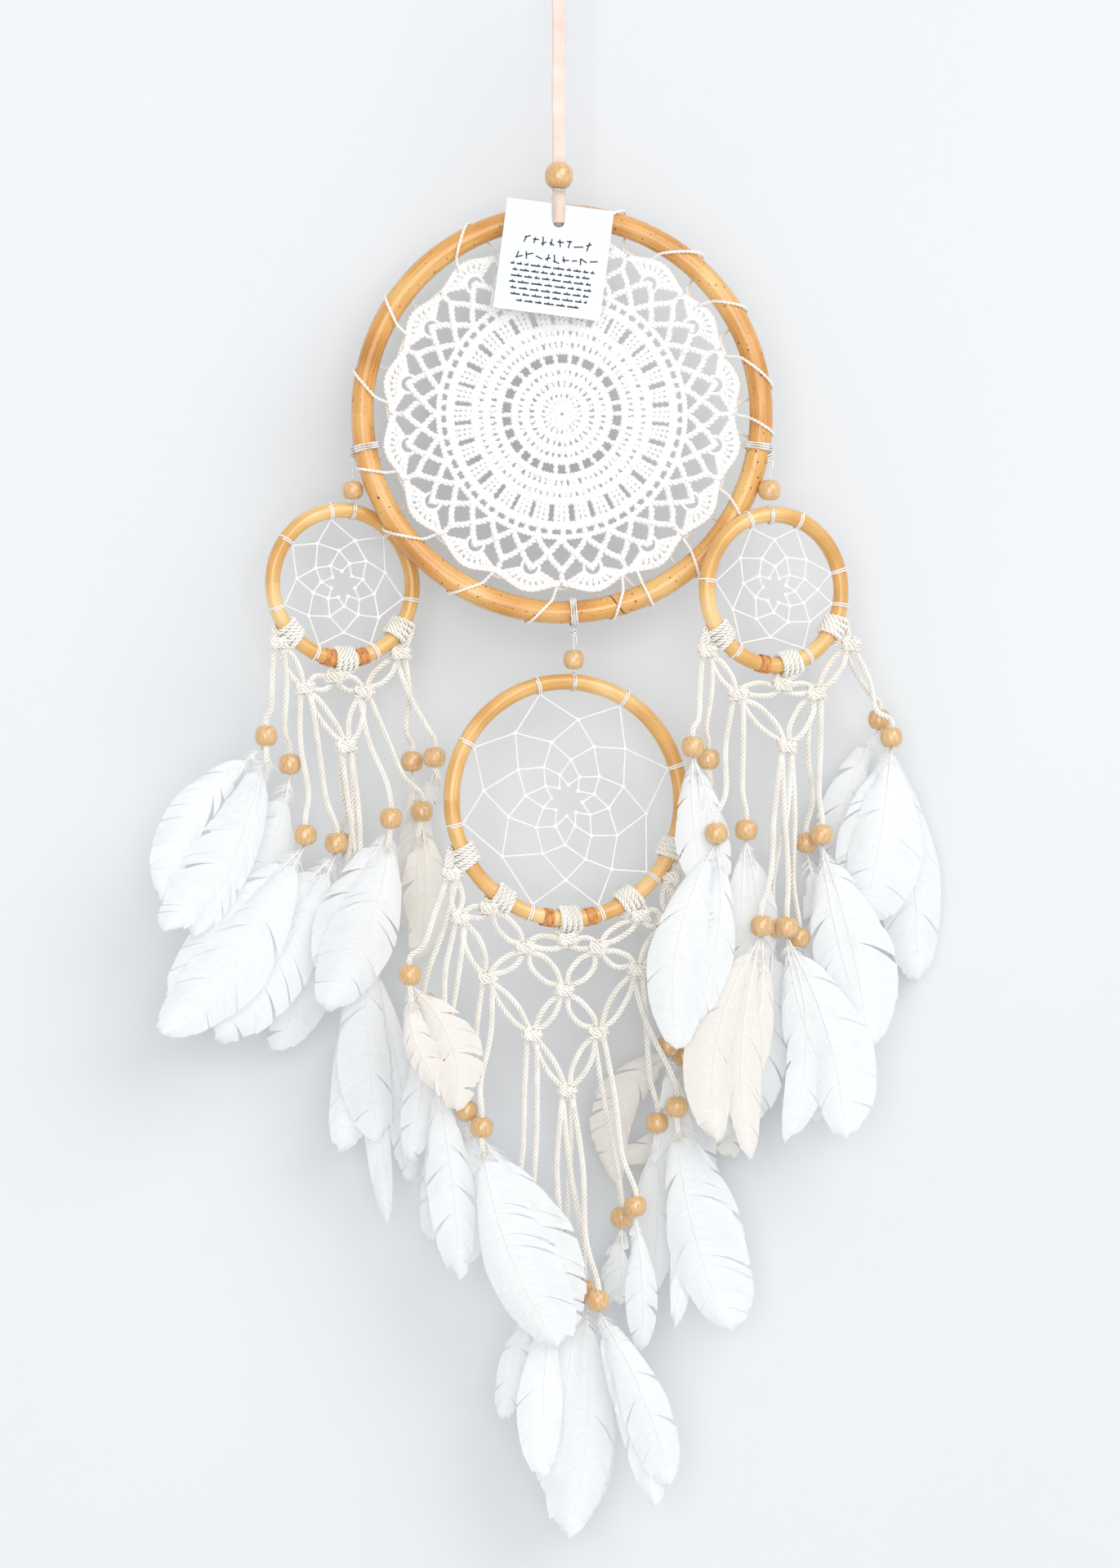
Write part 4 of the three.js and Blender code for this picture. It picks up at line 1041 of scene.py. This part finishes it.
def makeDoily():
    chance = random.Random(12)
    stitch = 1.45
    centre = makeRounds([(1.7, 12.4, 22), (12.9, 18.8, 32), (19.3, 24.6, 44)], stitch, 1.2)
    centre += chainRound(2.2, 8, 1)
    for i in range(26):
        degrees = 360 * i / 26 + chance.uniform(-1.6, 1.6)
        centre += post(24.8, 32.2, degrees, degrees + chance.uniform(-1, 1.5), lean=chance.uniform(-1, 1), thick=1.6)
    centre += chainRound(32.4, 54, 5) + chainRound(33.6, 54, 6)
    finishPiece("doily_centre", strandMesh("doily_centre", centre, plyRadius((stitch + 0.15) * mm, 2), 6), "doily",
                "main_hoop", ["doily"])
    middle = makeRounds([(33.6, 39.4, 74), (39.8, 45.4, 84)], stitch + 0.1, 0.8)
    finishPiece("doily_rounds", strandMesh("doily_rounds", middle, plyRadius((stitch + 0.3) * mm, 2), 6), "doily",
                "main_hoop")

    mesh = []
    for i in range(32):
        # bunches of three stitches with a small gap between bunches
        middle = 11.25 * i + chance.uniform(-0.6, 0.6)
        lift = flutter(50)(middle)
        for k in (-1, 0, 1):
            mesh += post(45.6, 57.4, middle + 2.6 * k, middle + 3.1 * k, lift + 0.4 * k, thick=1.7)
    mesh += chainRound(57.6, 92, 21, flutter(57)) + chainRound(59.2, 92, 23, flutter(57))
    for i in range(64):
        degrees = 5.625 * i + chance.uniform(-0.7, 0.7)
        mesh += post(59.4, 63.8, degrees, None, flutter(60)(degrees), thick=1.6)
    mesh += chainRound(64.4, 92, 22, flutter(64))
    for inner, outer, turn in [(64.8, 73, 0.0), (73, 81.5, 0.5)]:
        for i in range(32):
            degrees = 11.25 * (i + turn)
            lift = flutter(inner)(degrees)
            for toward in (-1, 1):
                line = [around(inner, degrees, lift),
                        around((inner + outer) / 2, degrees + 2.3 * toward + chance.uniform(-0.3, 0.3), lift - 0.4),
                        around(outer, degrees + 5.625 * toward, lift)]
                mesh += plied(smoothRoute(line, 1.1 * mm), 1.95 * mm, 2, 5.2 * mm, i)
            knob = [around(outer - 1.6, degrees - 6.9, lift - 0.5), around(outer + 0.8, degrees - 5.6, lift - 1.2),
                    around(outer - 1.6, degrees - 4.3, lift - 0.5)]
            mesh += plied(smoothRoute(knob, 1 * mm), 1.7 * mm, 2, 4.2 * mm, i)
    finishPiece("doily_mesh", strandMesh("doily_mesh", mesh, plyRadius(1.95 * mm, 2), 6), "doily", "main_hoop")

    edge = []
    for i in range(16):
        turn = 22.5 * (i + 0.5) + chance.uniform(-0.5, 0.5)
        lift = flutter(86)(turn) + chance.uniform(-0.3, 0.3)
        hub = around(81.6, turn, lift)

        def rimPoint(degrees, inward=0.0, out=0.0):
            radius = 89.4 + 4.4 * math.cos(math.radians(degrees * 8)) ** 2 - inward
            return around(radius, turn + degrees, lift + out)

        ring = []
        for step in range(13):
            angle = math.radians(turn - 145 + 290 * step / 12)
            ring.append(hub + Vector((math.cos(angle), 0, math.sin(angle))) * 4.7 * mm)
        edge += plied(ring, 1.4 * mm, 2, 4.0 * mm)
        for k in range(-4, 5):
            outer = rimPoint(2.5 * k, 0.6)
            way = (outer - hub).normalized()
            near = hub + way * 4.9 * mm
            bow = Vector((0, -chance.uniform(0.3, 1.1) * mm, 0))
            edge += plied(smoothRoute([near, near.lerp(outer, 0.5) + bow, outer], 1.3 * mm), 1.5 * mm, 2, 5.6 * mm,
                          chance.uniform(0, 6))
        for lane in (0.1, 1.5):
            rim = [rimPoint(0.4 * k, lane + 0.35 * math.cos(k * 1.7), 0.5 * math.sin(k * 1.7) - 0.3)
                   for k in range(-27, 28)]
            edge += plied(rim, 1.1 * mm, 2, 3.4 * mm)
        edge += post(80.8, 88.2, 22.5 * i, None, flutter(86)(22.5 * i), thick=1.9)
    finishPiece("doily_fans", strandMesh("doily_fans", edge, plyRadius(1.75 * mm, 2), 6), "doily", "main_hoop")


makeDoily()
print("doily made")


# ---------------------------------------------------------------- lashing, knot, tag
def makeLashing():
    # the cord comes up through the lace, crosses the cane's front, goes round behind, and on to the next crossing
    crossings = [(82, 73), (60, 48.5), (38, 29.5), (19, 7.5), (-0.5, -5.5), (-25.5, -31.5), (-46, -50), (-64.5, -64.6),
                 (-70, -76), (-92, -99.5), (-114, -122.5), (-136.5, -147), (-161, -165.4), (-184, -192),
                 (-207.5, -214), (-234.5, -244)]
    ring = mainHoop["cane"] + 0.95
    radius = mainHoop["radius"]
    points = []
    for inner, outer in crossings:
        slant = outer - inner
        back = 0.45 if inner in (-0.5, -161) else 1.0  # the hanger threads are tied just beyond these two
        points += [around(91.4, inner + 1.5, 1.6), around(91.6, inner + 0.3, -1.8),
                   around(radius - ring * 0.94, inner + slant * 0.12, -ring * 0.52),
                   around(radius - ring * 0.5, inner + slant * 0.3, -ring * 0.9),
                   around(radius, inner + slant * 0.52, -ring),
                   around(radius + ring * 0.62, inner + slant * 0.78, -ring * 0.8),
                   around(radius + ring, outer, 0),
                   around(radius + ring * 0.7, outer - 0.8 * back, ring * 0.72),
                   around(radius, outer - 1.6 * back, ring),
                   around(radius - ring * 0.8, outer - 2.6 * back, ring * 0.75),
                   around(91.8, outer - 4 * back, 1.8)]
    tracks = cordTracks(points, 0.95 * mm, 2, 4.5 * mm, 1.1 * mm)
    finishPiece("lashing", strandMesh("lashing", tracks, plyRadius(0.95 * mm, 2)), "cord", "main_hoop",
                ["lashing_cord"])


def makeKnot():
    # cream cord: two turns round the cane, and a knot that takes the ribbon
    top = Vector((0, 0, mainHoop["z"] + mainHoop["radius"])) * mm
    centre = Vector((0, 0, -123.1)) * mm
    ring = mainHoop["cane"] + 2.2
    tracks = []
    loop = []
    for i in range(2 * 14 + 1):
        turn = math.pi / 2 + 2 * math.pi * i / 14
        loop.append(top + Vector(((i / 28 - 0.5) * 3.0, ring * math.cos(turn), ring * math.sin(turn))) * mm)
    tracks += plied(loop, 1.1 * mm, 3, 6 * mm)
    for k, (tilt, size) in enumerate([(0.35, 2.9), (-0.35, 2.9), (0.0, 2.5)]):
        turnLine = []
        for i in range(15):
            turn = 2 * math.pi * i / 12
            turnLine.append(centre + Vector((size * math.cos(turn), size * 0.85 * math.sin(turn),
                                             (k - 1) * 1.9 + 1.1 * math.sin(turn + k * 2) + tilt)) * mm)
        tracks += plied(turnLine, 1.2 * mm, 3, 6 * mm)
    finishPiece("hoop_knot", strandMesh("hoop_knot", tracks, plyRadius(1.15 * mm)), "cord", "knot", ["ribbon_knot"])


def makeTagLoop():
    # the strip goes down in front of the card, through its hole and up behind
    low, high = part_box("tag_loop")
    tagLow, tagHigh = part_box("tag")
    face = (tagLow.y + tagHigh.y) / 2
    front, back = low.y + 0.28 * mm, face + (face - low.y) - 0.28 * mm
    line = [(high.y - 0.3 * mm, high.z - 0.3 * mm), (front, -127.0 * mm), (front, -132.0 * mm),
            (front, low.z + 1.0 * mm), (front + 0.35 * mm, low.z + 0.3 * mm), (back - 0.35 * mm, low.z + 0.3 * mm),
            (back, low.z + 1.0 * mm), (back, -132.0 * mm), (back, -128.2 * mm), (high.y - 0.3 * mm, -122.6 * mm)]
    shape = bmesh.new()
    verts = [shape.verts.new((-3.4 * mm, y, z)) for y, z in line]
    edges = [shape.edges.new(pair) for pair in zip(verts, verts[1:])]
    made = bmesh.ops.extrude_edge_only(shape, edges=edges)
    moved = [v for v in made["geom"] if isinstance(v, bmesh.types.BMVert)]
    bmesh.ops.translate(shape, verts=moved, vec=(6.8 * mm, 0, 0))
    for v in shape.verts:
        # gathered where it passes the hole
        if v.co.z < low.z + 5 * mm:
            v.co.x *= 0.88
    bmesh.ops.recalc_face_normals(shape, faces=shape.faces[:])
    piece = fromBmesh("tag_strip", shape, "ribbon", "tag", ["tag_loop"])
    thick = piece.modifiers.new("thickness", "SOLIDIFY")
    thick.thickness = 0.4 * mm
    thick.offset = 0


def makePrint():
    # generic strokes where a printed title and verse would be: no letters
    chance = random.Random(8)
    tagLow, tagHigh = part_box("tag")
    centre = Vector((-2.7 * mm, tagLow.y - 0.04 * mm, -158 * mm))
    shape = bmesh.new()

    def stroke(x, z, long, thick, turn=0.0):
        made = bmesh.ops.create_cube(shape, size=1.0)["verts"]
        bmesh.ops.scale(shape, verts=made, vec=(long * mm, 0.05 * mm, thick * mm))
        bmesh.ops.rotate(shape, verts=made, cent=(0, 0, 0), matrix=Matrix.Rotation(turn, 3, "Y"))
        bmesh.ops.translate(shape, verts=made, vec=(x * mm, 0, z * mm))

    for z, wide, tall in ((8.6, 33, 5.6), (0.4, 40, 6.2)):
        x = -wide / 2
        while x < wide / 2:
            long = chance.uniform(2.6, 5.2)
            stroke(x + long / 2, z + tall * chance.uniform(-0.3, 0.3), long, 0.7, chance.uniform(-0.5, 0.5))
            if chance.random() < 0.75:
                stroke(x + chance.uniform(0.4, 1.6), z, 0.7, tall * chance.uniform(0.5, 0.9), chance.uniform(-0.3, 0.3))
            x += long + 1.3
    for row in range(7):
        z = -4.6 - 3.15 * row
        wide = [44, 41, 42, 43, 41, 40, 33][row]
        x = -wide / 2
        while x < wide / 2 - 1:
            long = min(chance.uniform(2.0, 6.0), wide / 2 - x)
            stroke(x + long / 2, z, long, 0.85)
            stroke(x + long * chance.uniform(0.2, 0.8), z + 0.45, 0.5, 1.3)
            x += long + 1.2
    tilt = Matrix.Rotation(math.radians(7.4), 3, "Y")
    bmesh.ops.rotate(shape, verts=shape.verts[:], cent=(0, 0, 0), matrix=tilt)
    bmesh.ops.translate(shape, verts=shape.verts[:], vec=centre)
    fromBmesh("tag_print", shape, "ink", "tag", smooth=False)


makeLashing()
makeKnot()
makeTagLoop()
makePrint()
nodes["tag"].data.materials.clear()
nodes["tag"].data.materials.append(finish["card"])


# ---------------------------------------------------------------- room and light
def addStage():
    material, tree, out = newMaterial("painted wall")
    shade = ramp(tree, objectNoise(tree, 400, 1.0), [(0.3, "#e6e8ea"), (0.7, "#e9ebed")])
    paint = addNode(tree, "ShaderNodeBsdfDiffuse", {"Roughness": 0.9}, {"Color": shade})
    clear = addNode(tree, "ShaderNodeBsdfTransparent")
    back = addNode(tree, "ShaderNodeNewGeometry").outputs["Backfacing"]
    both = addNode(tree, "ShaderNodeMixShader", links={0: back, 1: paint.outputs[0], 2: clear.outputs[0]})
    tree.links.new(both.outputs[0], out.inputs["Surface"])
    for name, size, spin, place in (("wall", 2.2, (math.radians(90), 0, 0), (0, 0.062, -0.6)),
                                    ("floor", 2.2, (0, 0, 0), (0, -1.1, -1.7))):
        shape = bmesh.new()
        bmesh.ops.create_grid(shape, x_segments=1, y_segments=1, size=size)
        mesh = bpy.data.meshes.new(name)
        bmesh.ops.rotate(shape, verts=shape.verts[:], cent=(0, 0, 0), matrix=Matrix.Rotation(spin[0], 3, "X"))
        bmesh.ops.translate(shape, verts=shape.verts[:], vec=place)
        shape.to_mesh(mesh)
        shape.free()
        mesh.materials.append(material)
        panel = bpy.data.objects.new(name, mesh)
        scene.collection.objects.link(panel)
        panel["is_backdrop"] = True


def addLights():
    world = bpy.data.worlds.new("soft room")
    scene.world = world
    world.use_nodes = True
    world.node_tree.nodes["Background"].inputs["Color"].default_value = (0.99, 0.995, 1.0, 1)
    world.node_tree.nodes["Background"].inputs["Strength"].default_value = 0.67
    for name, place, size, power in (("key", (1.5, -2.2, 1.1), 2.1, 34), ("fill", (-0.1, -3.2, -0.3), 1.8, 32)):
        data = bpy.data.lights.new(name, "AREA")
        data.size = size
        data.energy = power
        lamp = bpy.data.objects.new(name, data)
        scene.collection.objects.link(lamp)
        lamp.location = place
        aim = Vector((0, 0, -0.42)) - Vector(place)
        lamp.rotation_euler = aim.to_track_quat("-Z", "Y").to_euler()
    scene.view_settings.view_transform = "Standard"


addStage()
addLights()

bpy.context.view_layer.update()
faces = sum(len(o.data.polygons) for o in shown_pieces() if o.type == "MESH")
print("faces:", faces)
